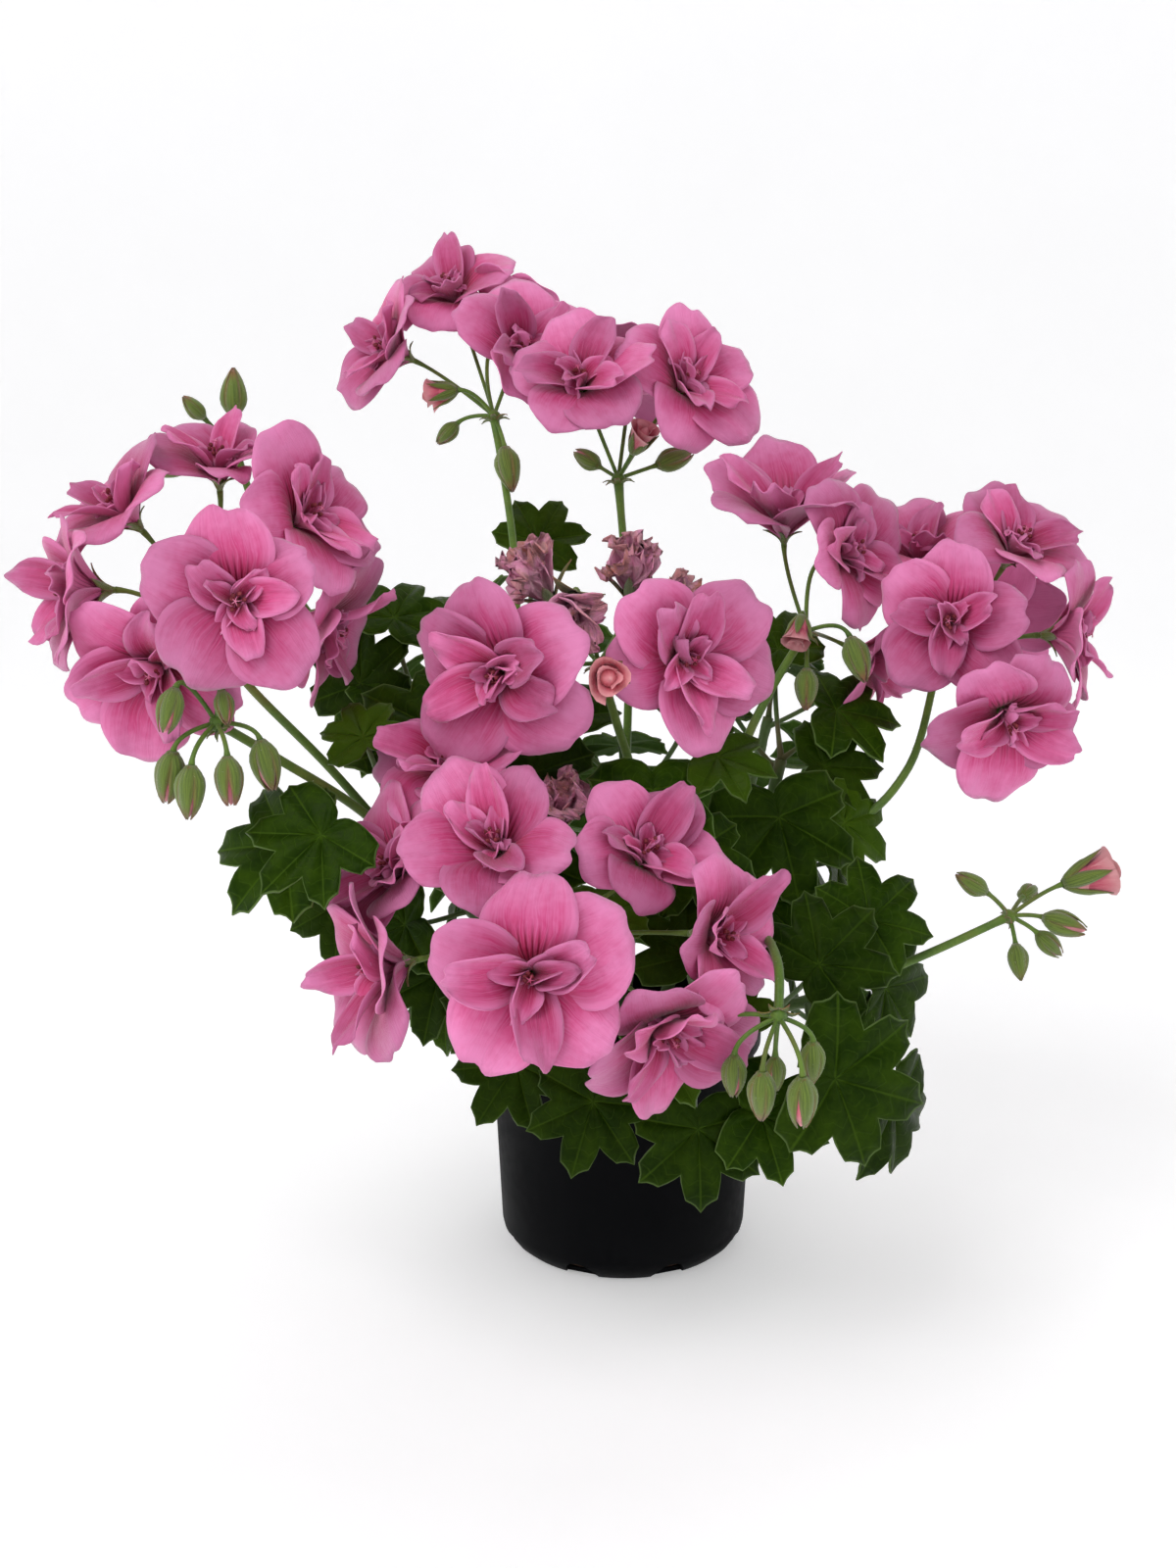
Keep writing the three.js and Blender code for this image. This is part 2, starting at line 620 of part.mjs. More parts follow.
// A pedicel from the knuckle that opens into a calyx of five pointed sepals under the bloom of a frame.
function calyxOnPedicel(knuckle, frame, grow = 0) {
  const { depth, tips, notches, tipDrop, notchDrop, heartDrop, sepals } = CALYX;
  const axis = new THREE.Vector3().setFromMatrixColumn(frame, 2);
  const seat = new THREE.Vector3().setFromMatrixPosition(frame);
  const below = (drop) => seat.clone().addScaledVector(axis, -drop);
  const out = below(depth).sub(knuckle).normalize();
  const between = axis.clone().add(out).normalize();
  const round = (radius) => new Array(sepals).fill(radius + grow);
  const reach = Array.from({ length: 2 * sepals }, (_, i) => (i % 2 ? notches : tips) + grow);
  const crown = ring(seat, axis, frame, reach);
  crown.forEach((p, i) => p.addScaledVector(axis, -(i % 2 ? notchDrop : tipDrop)));
  return skin([
    ring(knuckle, out, frame, round(PEDICEL.radius)),
    ring(below(depth), between, frame, round(PEDICEL.radius)),
    crown,
    [below(heartDrop - grow)],
  ]);
}

// The pot: a thin tapered shell with a rolled rim, a flat foot and drainage notches round it.
function pot() {
  const p = POT;
  const shell = solid(
    turned(
      [
        [0, 0],
        [p.foot, 0],
        [p.cornerRadius, p.cornerHeight],
        [p.topRadius, p.wallTop],
        [p.rimRadius, p.wallTop + 1.4],
        [p.rimRadius + 0.4, p.height],
        [p.topRadius + 0.2, p.height],
        [p.topRadius - p.wall, p.wallTop - 1],
        [p.cornerRadius - p.wall, p.cornerHeight],
        [p.foot - 1, p.floor],
        [0, p.floor],
      ],
      ROUND_SIDES,
    ),
  );
  const notches = Array.from({ length: NOTCH.count }, (_, i) => {
    const cutter = new THREE.BoxGeometry(NOTCH.depth, NOTCH.width, NOTCH.height);
    cutter.translate(p.cornerRadius, 0, NOTCH.middle);
    return solid(cutter.rotateZ((2 * Math.PI * (i + 0.5)) / NOTCH.count));
  });
  return notches.reduce((body, notch) => body.subtract(notch), shell);
}

// The soil: it fills the pot with a small gap to the wall, and has a rippled top.
function soil() {
  const p = POT;
  const inner = (z) => {
    const share = (z - p.cornerHeight) / (p.wallTop - 1 - p.cornerHeight);
    return p.cornerRadius + (p.topRadius - p.cornerRadius) * share - p.wall - CLEARANCE;
  };
  const geometry = turned(
    [
      [0, p.floor + CLEARANCE],
      [p.foot - 2, p.floor + CLEARANCE],
      [inner(p.cornerHeight), p.cornerHeight + CLEARANCE],
      [inner(SOIL.top - 2), SOIL.top - 2],
      [0.6 * p.topRadius, SOIL.top + 2],
      [0, SOIL.crown],
    ],
    ROUND_SIDES,
  );
  const position = geometry.attributes.position;
  for (let i = 0; i < position.count; i++) {
    const [x, y, z] = [position.getX(i), position.getY(i), position.getZ(i)];
    if (z > SOIL.top - 1) position.setZ(i, z + SOIL.ripple * Math.sin(0.31 * x + 1) * Math.cos(0.27 * y));
  }
  return solid(geometry);
}

// What is already in place: each solid's grown copy, which later solids are kept out of.
const settled = [];
const boxOf = (body) => {
  const { min, max } = body.boundingBox();
  return new THREE.Box3(vector(min), vector(max));
};
const settle = (shadow) => settled.push({ box: boxOf(shadow), shadow });

// A shadow without the wood that it may not cut.
const sparing = (shadow, stems) => largest(stems.reduce((a, stem) => a.subtract(stem.bark), shadow));

// A body cut clear of all that is in place but its own shadow, less the scraps of the cut.
function clear(body, own) {
  const box = boxOf(body);
  const near = settled.filter((s) => s.shadow !== own && s.box.intersectsBox(box));
  return largest(near.reduce((a, s) => a.subtract(s.shadow), body));
}

const plant = new THREE.Group();

// Adds a named mesh whose own frame is placed in its parent group by position and rotation.
function addMesh(group, name, body, material, frame = new THREE.Matrix4()) {
  group.updateMatrixWorld(true);
  const local = group.matrixWorld.clone().invert().multiply(frame);
  const mesh = new THREE.Mesh(geometryOf(body).applyMatrix4(frame.clone().invert()), material);
  mesh.name = name;
  local.decompose(mesh.position, mesh.quaternion, mesh.scale);
  group.add(mesh);
}

// The stems' bare wood. Its shadow cuts the soil and the other pieces, and nothing may cut its bark.
function stemBars() {
  return Object.entries(LEAFY_STEMS).map(([name, { path, leaves }]) => {
    const points = path.map(vector);
    const wood = (grow) => solid(bar(points, STEM.radius, STEM, grow));
    const curve = new THREE.CatmullRomCurve3(points);
    return { name, leaves, curve, body: wood(0), bark: wood(BARK), shadow: wood(CLEARANCE) };
  });
}

// The pot, the soil and the air just round them, which leaves and blooms keep out of.
function potSurroundings() {
  const { rimRadius, height, topRadius } = POT;
  const [side, top, over] = [rimRadius + 1, height + 1, SOIL.crown + 2];
  const outline = [[0, 0], [side, 0], [side, top], [topRadius, top], [topRadius - 4, over], [0, over]];
  return solid(turned(outline, ROUND_SIDES));
}

// The frame of a bloom: its seat on the calyx, and +Z the way it faces.
function bloomFrame([x, y, z, azimuth, elevation]) {
  const axis = aim(azimuth, elevation);
  return frameAt(new THREE.Vector3(x, y, z).addScaledVector(axis, -PETAL.throat), axis);
}

// A flower head's green: the stalk, its knuckle, and a pedicel for each calyx and bud.
function stalkParts(head, name, grow) {
  const points = head.path.map(vector);
  const knuckle = points[points.length - 1];
  const parts = [solid(bar(points, STALK.radius, STALK, grow))];
  const ball = new THREE.OctahedronGeometry(STALK.knuckle + grow).translate(knuckle.x, knuckle.y, knuckle.z);
  parts.push(solid(ball));
  for (const flower of [...head.blooms, ...(WITHERED[name] ?? [])]) {
    parts.push(solid(calyxOnPedicel(knuckle, bloomFrame(flower), grow)));
  }
  for (const [x, y, z, length] of head.buds) {
    const middle = new THREE.Vector3(x, y, z);
    const axis = middle.clone().sub(knuckle).normalize().multiplyScalar(1 - head.nod);
    axis.add(new THREE.Vector3(0, 0, -head.nod)).normalize();
    const foot = middle.clone().addScaledVector(axis, -length / 2);
    parts.push(solid(budOnPedicel(knuckle, foot, frameAt(foot, axis), length, grow)));
  }
  return join(parts);
}

function addStalk(group, name, head) {
  const body = clear(stalkParts(head, name, 0));
  settle(sparing(stalkParts(head, name, CLEARANCE), stems));
  addMesh(group, `stalk_${name}`, body, FINISHES.stalk, frameAt(vector(head.path[0]), aim(0, 90)));
}

function addBloom(group, name, shape, flower, material) {
  const frame = bloomFrame(flower);
  const toWorld = (grow) => placed(geometryOf(shape(grow)), frame);
  addMesh(group, name, clear(toWorld(0)), material, frame);
  settle(toWorld(CLEARANCE));
}

// A stem with its leaves and their petioles.
function leafySolid(stem, grow) {
  const parts = [grow ? stem.shadow : stem.body];
  for (const [station, x, y, z, azimuth, elevation, clock, reach] of stem.leaves) {
    const seat = new THREE.Vector3(x, y, z);
    const face = aim(azimuth, elevation);
    const droop = LEAF.droop * (1 + LEAF.unevenness * wobble(x + y));
    const frame = frameAt(seat, face, clock);
    parts.push(placed(leaf(reach, droop, grow), frame));
    const root = stem.curve.getPoint(station);
    const bend = seat.clone().addScaledVector(face, -PETIOLE.bend * seat.distanceTo(root));
    const foot = vector(PETIOLE.seat).applyMatrix4(frame);
    const points = new THREE.QuadraticBezierCurve3(root, bend, foot).getPoints(PETIOLE.steps);
    parts.push(solid(bar(points, PETIOLE.radius, PETIOLE, grow)));
  }
  return join(parts);
}

function addLeafyStem(stem, others) {
  const body = clear(leafySolid(stem, 0), stem.shadow);
  const frame = frameAt(stem.curve.getPoint(0), aim(0, 90));
  addMesh(plant, `leafy_stem_${stem.name}`, body, FINISHES.leaf, frame);
  settle(sparing(leafySolid(stem, CLEARANCE), others));
}

const stems = stemBars();
stems.forEach((stem) => settle(stem.shadow));
settle(sparing(potSurroundings(), stems));
addMesh(plant, "pot", pot(), FINISHES.pot);
addMesh(plant, "soil", stems.reduce((body, stem) => body.subtract(stem.shadow), soil()), FINISHES.soil);

const heads = Object.entries(HEADS).map(([name, head]) => {
  const group = new THREE.Group();
  group.position.copy(vector(head.path[head.path.length - 1]));
  plant.add(group);
  addStalk(group, name, head);
  return { name, head, group };
});
heads.forEach(({ name, head, group }, h) => {
  head.blooms.forEach((flower, n) => {
    addBloom(group, `bloom_${name}_${n + 1}`, pinkBloom(flower, 10 * h + n), flower, FINISHES.petal);
  });
  (WITHERED[name] ?? []).forEach((flower, n) => {
    addBloom(group, `withered_${name}_${n + 1}`, witheredBloom(flower, 7 * h + n), flower, FINISHES.faded);
  });
});
stems.forEach((stem) => addLeafyStem(stem, stems.filter((other) => other !== stem)));

export default plant;
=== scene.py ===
"""The finish of a potted pink ivy geranium: its petals, leaves, stalks and buds, its pot and its soil.

The tables and sizes are in millimetres, with +Z up, -Y towards the fullest flower head and +X to its right.
The meshes are in metres.
"""

from __future__ import annotations

import logging
import math
from collections.abc import Callable, Sequence
from dataclasses import dataclass
from enum import Enum

import bpy
import numpy as np
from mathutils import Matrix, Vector


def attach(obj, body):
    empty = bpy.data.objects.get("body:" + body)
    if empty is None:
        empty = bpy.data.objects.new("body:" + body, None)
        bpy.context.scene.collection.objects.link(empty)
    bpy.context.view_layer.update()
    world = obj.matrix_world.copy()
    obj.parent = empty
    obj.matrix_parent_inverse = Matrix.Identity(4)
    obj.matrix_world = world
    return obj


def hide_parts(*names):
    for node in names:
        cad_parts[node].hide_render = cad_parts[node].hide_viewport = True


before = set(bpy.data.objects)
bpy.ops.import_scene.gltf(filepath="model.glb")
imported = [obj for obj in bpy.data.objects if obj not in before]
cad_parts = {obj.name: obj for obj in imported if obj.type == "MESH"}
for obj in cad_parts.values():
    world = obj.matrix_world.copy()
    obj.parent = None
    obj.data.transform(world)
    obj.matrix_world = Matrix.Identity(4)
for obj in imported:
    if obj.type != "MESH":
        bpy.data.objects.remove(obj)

LOG = logging.getLogger("geranium")
MM = 0.001
TRAITS = "traits"  # x is a piece's own tone, y its marking and z its age, or on a petal its painted shade, each from 0 to 1

Points = np.ndarray
Numbers = Sequence[float]
Ring = tuple[float, float]  # radius and height
Colour = tuple[float, float, float]


@dataclass(frozen=True)
class StemPlan:
    """A leafy stem.

    path runs up from the soil. A leaf is (station on the stem, seat x, y, z, face azimuth, face elevation,
    clock of the middle lobe, reach).
    """

    path: tuple[Numbers, ...]
    leaves: tuple[Numbers, ...]


@dataclass(frozen=True)
class HeadPlan:
    """A flower head.

    path is the stalk, up to the knuckle where the pedicels meet. A bloom is (throat x, y, z, face azimuth,
    face elevation, petal length, turn, cup), a bud is (middle x, y, z, length), and a withered bloom is
    (throat x, y, z, azimuth, elevation, petal length). nod is how far the buds hang, from 0 to 1.
    rosebuds numbers the buds that already show their petals.
    """

    path: tuple[Numbers, ...]
    nod: float = 0.0
    blooms: tuple[Numbers, ...] = ()
    buds: tuple[Numbers, ...] = ()
    withered: tuple[Numbers, ...] = ()
    rosebuds: tuple[int, ...] = ()


LEAFY_STEMS = {
    "left_front": StemPlan(
        path=((-10, -8, 68), (-32, -20, 108), (-62, -38, 148), (-84, -54, 172)),
        leaves=(
            (1.0, -112, -88, 178, -25, 35, -95, 31),
            (0.95, -98, -112, 188, -8, 35, -140, 26),
            (0.8, -96, -76, 156, -12, 8, 190, 24),
            (0.9, -89, -69, 211, -12, 45, -30, 18),
            (0.6, -78, -50, 140, -30, 20, -120, 26),
            (0.5, -66, -56, 124, -14, 15, 190, 26),
            (0.35, -64, -44, 112, -35, 10, -130, 24),
        ),
    ),
    "left_back": StemPlan(
        path=((-12, 2, 68), (-36, 2, 125), (-60, -4, 178), (-76, -6, 210)),
        leaves=(
            (0.95, -96, -14, 220, -20, 25, -10, 26),
            (1.0, -84, -8, 243, 5, 55, 20, 25),
            (0.85, -66, -42, 208, 0, 35, -110, 34),
            (0.8, -84, -22, 212, -10, 30, 200, 26),
            (0.65, -60, -26, 184, -5, 30, 190, 28),
            (1.0, -66, 8, 238, 20, 60, 60, 24),
            (0.9, -92, 30, 206, -100, 35, -60, 27),
            (0.7, -78, 22, 186, -120, 35, 80, 27),
            (0.45, -58, 16, 140, -100, 25, 110, 26),
            (0.3, -52, 6, 112, -85, 20, 160, 24),
        ),
    ),
    "front": StemPlan(
        path=((-4, -14, 68), (-9, -38, 98), (-14, -56, 116), (-18, -66, 126)),
        leaves=(
            (0.7, -12, -96, 92, -5, 20, 195, 26),
            (0.5, -38, -82, 100, -15, 20, -150, 25),
            (0.9, -42, -76, 116, -10, 35, -80, 24),
            (1.0, -8, -72, 150, 0, 60, 10, 20),
        ),
    ),
    "right_front": StemPlan(
        path=((9, -12, 68), (26, -40, 96), (46, -56, 110), (66, -62, 116)),
        leaves=(
            (0.8, 63, -90, 138, 2, 35, 45, 29),
            (0.6, 34, -104, 124, -5, 35, -30, 19),
            (0.95, 66, -116, 108, 12, 12, 110, 34),
            (1.0, 88, -98, 92, 50, 0, 165, 29),
            (0.35, 23, -100, 84, 4, 14, 178, 28),
            (0.5, 44, -98, 88, 12, 22, 115, 26),
            (0.4, 12, -92, 108, -4, 40, 200, 22),
            (0.4, 20, -78, 137, 0, 35, 0, 24),
            (1.0, 82, -72, 148, 15, 35, 55, 26),
            (0.72, 94, -36, 112, 45, 8, 95, 29),
            (0.85, 78, -52, 98, 35, 5, 150, 26),
        ),
    ),
    "middle": StemPlan(
        path=((0, -2, 68), (2, -8, 120), (6, -22, 162), (6, -32, 184)),
        leaves=(
            (1.0, 8, -74, 194, 0, 42, 180, 28),
            (0.9, 30, -64, 203, 10, 55, 110, 21),
            (0.8, -32, -52, 195, -5, 32, 170, 27),
            (0.95, -22, -22, 208, -20, 55, -40, 25),
            (1.0, 24, -18, 212, 15, 60, 50, 25),
            (0.65, 22, -60, 168, 10, 30, 160, 26),
            (0.6, -34, -36, 160, -15, 25, -150, 27),
        ),
    ),
    "right_back": StemPlan(
        path=((12, -1, 68), (34, -3, 115), (50, -5, 158), (58, -4, 190)),
        leaves=(
            (0.8, 54, -38, 176, 12, 28, 172, 34),
            (1.0, 58, 16, 228, 10, 45, -20, 24),
            (1.0, 78, -2, 208, 25, 50, 105, 27),
            (0.9, 72, -18, 190, 20, 35, 95, 24),
            (0.75, 78, -30, 172, 30, 25, 130, 23),
            (0.95, 36, 10, 220, 5, 55, -40, 24),
            (0.5, 50, -36, 144, 10, 20, 190, 28),
            (0.6, 80, 0, 150, 70, 25, 130, 27),
            (0.7, 82, 20, 176, 100, 30, 70, 27),
            (0.35, 62, 8, 110, 90, 15, 175, 25),
        ),
    ),
    "back_left": StemPlan(
        path=((-8, 12, 68), (-24, 38, 128), (-36, 62, 188), (-38, 76, 232)),
        leaves=(
            (1.0, -34, 88, 262, 10, 40, 30, 24),
            (0.95, -62, 82, 232, -100, 40, 20, 25),
            (0.85, -20, 94, 220, 165, 40, 30, 26),
            (0.75, -66, 76, 194, -125, 30, 100, 28),
            (0.6, -30, 90, 168, 190, 35, 165, 28),
            (0.45, -62, 58, 138, -125, 25, 150, 28),
            (0.3, -44, 60, 100, -145, 15, 175, 27),
            (0.6, -70, 44, 168, -95, 35, 60, 26),
        ),
    ),
    "back": StemPlan(
        path=((0, 15, 68), (1, 46, 104), (3, 76, 134), (4, 96, 146)),
        leaves=(
            (1.0, 4, 128, 150, 178, 30, 175, 30),
            (0.9, -26, 112, 138, 205, 20, 195, 28),
            (0.85, 34, 108, 142, 150, 25, 160, 28),
            (0.6, -14, 90, 98, 190, 10, 180, 27),
            (0.65, 28, 84, 104, 160, 10, 170, 27),
            (0.95, 0, 92, 176, 182, 60, 10, 25),
        ),
    ),
    "back_right": StemPlan(
        path=((8, 12, 68), (30, 38, 120), (52, 60, 166), (60, 70, 192)),
        leaves=(
            (1.0, 66, 88, 214, 150, 45, 20, 26),
            (0.95, 84, 66, 204, 105, 40, 70, 26),
            (0.85, 36, 78, 202, 165, 50, -30, 26),
            (0.8, 82, 78, 172, 125, 25, 140, 28),
            (0.65, 46, 90, 160, 155, 20, 190, 27),
            (0.5, 74, 46, 140, 100, 20, 150, 27),
            (0.3, 52, 54, 104, 125, 10, 175, 27),
        ),
    ),
}

HEADS = {
    "left": HeadPlan(
        path=((-78, -50, 166), (-104, -46, 196), (-130, -52, 226), (-142, -66, 248)),
        blooms=(
            (-121, -118, 263, 6, 6, 28, 0, 0.3), (-153, -94, 237, -10, -14, 29, 30, 0.4),
            (-182, -82, 262, -66, 2, 26, 10, 0.45), (-173, -54, 289, -54, 46, 24, 20, 0.5),
            (-142, -30, 304, 4, 64, 22, 50, 0.55), (-105, -57, 285, 55, 25, 28, 15, 0.35),
            (-100, -48, 244, 80, -22, 27, 40, 0.4),
        ),
    ),
    "left_buds": HeadPlan(
        path=((-70, -4, 196), (-98, 0, 222), (-126, 4, 258), (-143, 10, 303)),
        buds=(
            (-142, 8, 323, 17), (-160, 6, 308, 12), (-155, 0, 318, 11), (-166, 12, 296, 13),
            (-125, 8, 303, 12), (-146, 26, 306, 11),
        ),
    ),
    "low_left_buds": HeadPlan(
        path=((-70, -46, 158), (-92, -66, 186), (-114, -84, 206), (-132, -100, 222)),
        nod=0.75,
        buds=(
            (-144, -112, 228, 15), (-128, -106, 228, 11), (-146, -108, 206, 17), (-138, -116, 203, 17),
            (-126, -114, 206, 16), (-116, -104, 209, 17),
        ),
    ),
    "top_left": HeadPlan(
        path=((-28, 44, 146), (-40, 50, 200), (-43, 58, 262), (-51, 74, 313)),
        nod=0.35,
        blooms=(
            (-96, 84, 340, -62, 22, 27, 10, 0.45), (-70, 100, 365, -25, 52, 27, 40, 0.4),
            (-46, 112, 354, 140, 50, 27, 20, 0.4), (-38, 66, 340, 22, 28, 29, 0, 0.45),
        ),
        buds=(
            (-72, 76, 322, 14), (-70, 80, 306, 12), (-45, 62, 293, 18),
        ),
        rosebuds=(0,),
    ),
    "top": HeadPlan(
        path=((2, -8, 120), (1, 18, 172), (2, 35, 235), (-2, 48, 290)),
        blooms=(
            (-17, 32, 330, -14, 38, 28, 20, 0.35), (26, 46, 328, 30, 30, 29, 5, 0.4),
            (4, 84, 330, 172, 42, 27, 15, 0.45),
        ),
        buds=(
            (6, 38, 305, 14), (20, 56, 297, 16), (-14, 56, 297, 13),
        ),
        rosebuds=(0,),
    ),
    "middle": HeadPlan(
        path=((6, -18, 150), (4, -38, 184), (-4, -42, 212), (-10, -42, 232)),
        blooms=(
            (-44, -80, 234, -22, 2, 32, 10, 0.3), (20, -72, 238, 22, 4, 31, 35, 0.35),
        ),
        buds=(
            (-7, -82, 234, 16),
        ),
        withered=(
            (-32, -40, 262, -40, 50, 20), (-20, -68, 252, -8, -25, 22), (2, -30, 264, 10, 60, 19),
            (16, -34, 254, 45, 30, 18),
        ),
        rosebuds=(0,),
    ),
    "right": HeadPlan(
        path=((46, -8, 158), (42, -24, 196), (52, -18, 218), (66, -5, 238)),
        nod=0.6,
        blooms=(
            (58, 6, 282, -8, 66, 28, 0, 0.75), (82, -12, 268, 48, 18, 29, 25, 0.35),
            (98, 20, 222, 62, -22, 27, 40, 0.4),
        ),
        buds=(
            (62, -18, 240, 13), (82, -26, 231, 17), (65, -18, 219, 15),
        ),
        rosebuds=(0,),
    ),
    "far_right": HeadPlan(
        path=((54, -6, 172), (84, -20, 171), (103, -14, 188), (118, 12, 224)),
        blooms=(
            (112, -36, 246, -14, 6, 28, 0, 0.4), (144, 0, 272, 28, 52, 27, 20, 0.4),
            (132, -52, 212, 12, -22, 29, 35, 0.35), (164, -14, 238, 66, 4, 27, 14, 0.4),
            (110, 22, 268, -30, 68, 26, 30, 0.5), (146, 48, 236, 150, 8, 27, 15, 0.45),
        ),
    ),
    "right_buds": HeadPlan(
        path=((60, -58, 114), (90, -50, 122), (112, -48, 131), (136, -46, 142)),
        nod=0.15,
        buds=(
            (122, -46, 154, 13), (164, -43, 156, 20), (153, -56, 142, 16), (151, -44, 131, 13),
            (137, -58, 129, 13), (146, -30, 146, 12),
        ),
        rosebuds=(1,),
    ),
    "front": HeadPlan(
        path=((-12, -52, 112), (-22, -62, 134), (-30, -76, 144), (-32, -88, 148)),
        blooms=(
            (-31, -152, 154, -2, 6, 34, 0, 0.25), (12, -130, 127, 26, -22, 31, 36, 0.4),
            (-82, -120, 146, -62, -4, 29, 10, 0.45), (-80, -96, 175, -50, 30, 26, 30, 0.45),
            (-60, -72, 205, -22, 55, 27, 15, 0.5), (-44, -116, 188, -14, 42, 26, 40, 0.55),
            (6, -96, 180, 24, 46, 26, 20, 0.45), (31, -112, 155, 52, 8, 27, 5, 0.4),
        ),
        withered=(
            (-22, -70, 190, 8, 60, 18),
        ),
    ),
    "low_right_buds": HeadPlan(
        path=((38, -46, 106), (44, -84, 146), (47, -116, 146), (46, -130, 134)),
        nod=1,
        buds=(
            (52, -146, 112, 17), (40, -143, 113, 16), (32, -134, 116, 14), (28, -122, 121, 12),
            (57, -130, 119, 14), (46, -122, 112, 12),
        ),
    ),
}


class PetalKind(Enum):
    """The kinds of petal in a semi-double bloom."""

    OUTER = "outer"
    MIDDLE = "middle"
    SMALL = "small"
    CURLED = "curled"


# Repeatable numbers, directions and places.


def wobble(seed: float) -> float:
    """A repeatable number from -1 to 1 for each seed."""
    s = math.sin(seed * 127.1 + 11.7) * 43758.5453
    return 2.0 * (s - math.floor(s)) - 1.0


def unit(v: Points) -> Points:
    """The vector at length 1."""
    return v / max(float(np.linalg.norm(v)), 1e-9)


def aim(azimuth: float, elevation: float) -> Points:
    """The unit vector that looks to an azimuth and elevation in degrees."""
    a, e = math.radians(azimuth), math.radians(elevation)
    return np.array([math.sin(a) * math.cos(e), -math.cos(a) * math.cos(e), math.sin(e)])


@dataclass(frozen=True)
class Seat:
    """A place with its own axes, where z is the way that it faces."""

    origin: Points
    x: Points
    y: Points
    z: Points

    @classmethod
    def facing(cls, point: Points, normal: Points, clock: float = 0.0) -> Seat:
        """A seat whose y axis stands at a clock angle from straight up, as seen from the front.

        Args:
            point: where the seat is.
            normal: the way that it faces.
            clock: the angle in degrees, 90 to the right.

        Returns:
            The seat.
        """
        up = np.array([0.0, 0.0, 1.0]) - normal * normal[2]
        if float(up @ up) < 1e-6:
            up = np.array([0.0, 1.0, 0.0])
        up = unit(up)
        right = np.cross(up, normal)
        c = math.radians(clock)
        y = up * math.cos(c) + right * math.sin(c)
        return cls(np.asarray(point, float), np.cross(y, normal), y, normal)

    def place(self, x: Points, y: Points, z: Points) -> Points:
        """Points given along the seat's own axes, as rows of x, y, z in the object's frame."""
        return self.origin + np.outer(x, self.x) + np.outer(y, self.y) + np.outer(z, self.z)


def smooth_path(points: Sequence[Numbers], count: int, start: float = 0.0, end: float = 1.0) -> Points:
    """Points on the smooth curve that a stem or stalk follows through its path.

    Args:
        points: the path.
        count: how many points are wanted.
        start: the station of the first, from 0 to 1.
        end: the station of the last.

    Returns:
        One row for each point.
    """
    p = np.asarray(points, float)
    p = np.vstack([2 * p[0] - p[1], p, 2 * p[-1] - p[-2]])
    made = []
    for t in np.linspace(start, end, count):
        at = t * (len(p) - 3)
        k = min(int(at), len(p) - 4)
        w = at - k
        a, b, c, d = p[k : k + 4]
        ab, bc, cd = (math.sqrt(float(np.linalg.norm(q - r))) for q, r in ((b, a), (c, b), (d, c)))
        t1 = ((b - a) / ab - (c - a) / (ab + bc) + (c - b) / bc) * bc
        t2 = ((c - b) / bc - (d - b) / (bc + cd) + (d - c) / cd) * bc
        made.append(b + t1 * w + (3 * (c - b) - 2 * t1 - t2) * w**2 + (2 * (b - c) + t1 + t2) * w**3)
    return np.array(made)


def bow(start: Points, middle: Points, end: Points, count: int) -> Points:
    """Points on the curve that leaves start towards middle and reaches end from it."""
    t = np.linspace(0.0, 1.0, count)[:, None]
    return (1 - t) ** 2 * start + 2 * t * (1 - t) * middle + t**2 * end


# Work on meshes, as by hand.


def select(*objects: bpy.types.Object) -> None:
    """Selects these objects alone, with the first one active.

    Args:
        objects: what is selected, or nothing to deselect all.
    """
    bpy.ops.object.select_all(action="DESELECT")
    for o in objects:
        o.select_set(True)
    bpy.context.view_layer.objects.active = objects[0] if objects else None


def linked(name: str, data: bpy.types.ID) -> bpy.types.Object:
    """A new object in the scene.

    Args:
        name: its name.
        data: its mesh, curve, light or camera.

    Returns:
        The object.
    """
    made = bpy.data.objects.new(name, data)
    bpy.context.collection.objects.link(made)
    return made


def copy_of(source: bpy.types.Object) -> bpy.types.Object:
    """A copy of an object with its own mesh."""
    return linked(source.name, source.data.copy())


def apply_modifiers(piece: bpy.types.Object) -> None:
    """Applies every modifier of a piece."""
    select(piece)
    for modifier in list(piece.modifiers):
        bpy.ops.object.modifier_apply(modifier=modifier.name)


def tidy_mesh(piece: bpy.types.Object, merge: float = 0.02, outwards: bool = True) -> None:
    """Merges a piece's doubled corners, and turns its faces outwards.

    Args:
        piece: the piece.
        merge: how far apart doubled corners may be, in millimetres.
        outwards: False leaves the faces the way that they are, as on an open blade.
    """
    select(piece)
    bpy.ops.object.mode_set(mode="EDIT")
    bpy.ops.mesh.select_all(action="SELECT")
    bpy.ops.mesh.remove_doubles(threshold=merge * MM)
    if outwards:
        bpy.ops.mesh.normals_make_consistent(inside=False)
    bpy.ops.object.mode_set(mode="OBJECT")


def joined(parts: Sequence[bpy.types.Object], name: str) -> bpy.types.Object:
    """Joins parts into one object.

    Args:
        parts: the parts, of which the first takes in the others.
        name: the name of the whole.

    Returns:
        The whole.
    """
    select(*parts)
    if len(parts) > 1:
        bpy.ops.object.join()
    piece = bpy.context.object
    piece.name = name
    piece.data.name = name
    return piece


def corners(piece: bpy.types.Object) -> Points:
    """A piece's corners, one row each."""
    co = np.empty(len(piece.data.vertices) * 3, np.float32)
    piece.data.vertices.foreach_get("co", co)
    return co.reshape(-1, 3).astype(float)


def put_corners(piece: bpy.types.Object, points: Points) -> None:
    """Moves a piece's corners to these places, in millimetres."""
    piece.data.vertices.foreach_set("co", (points * MM).astype(np.float32).ravel())
    piece.data.update()


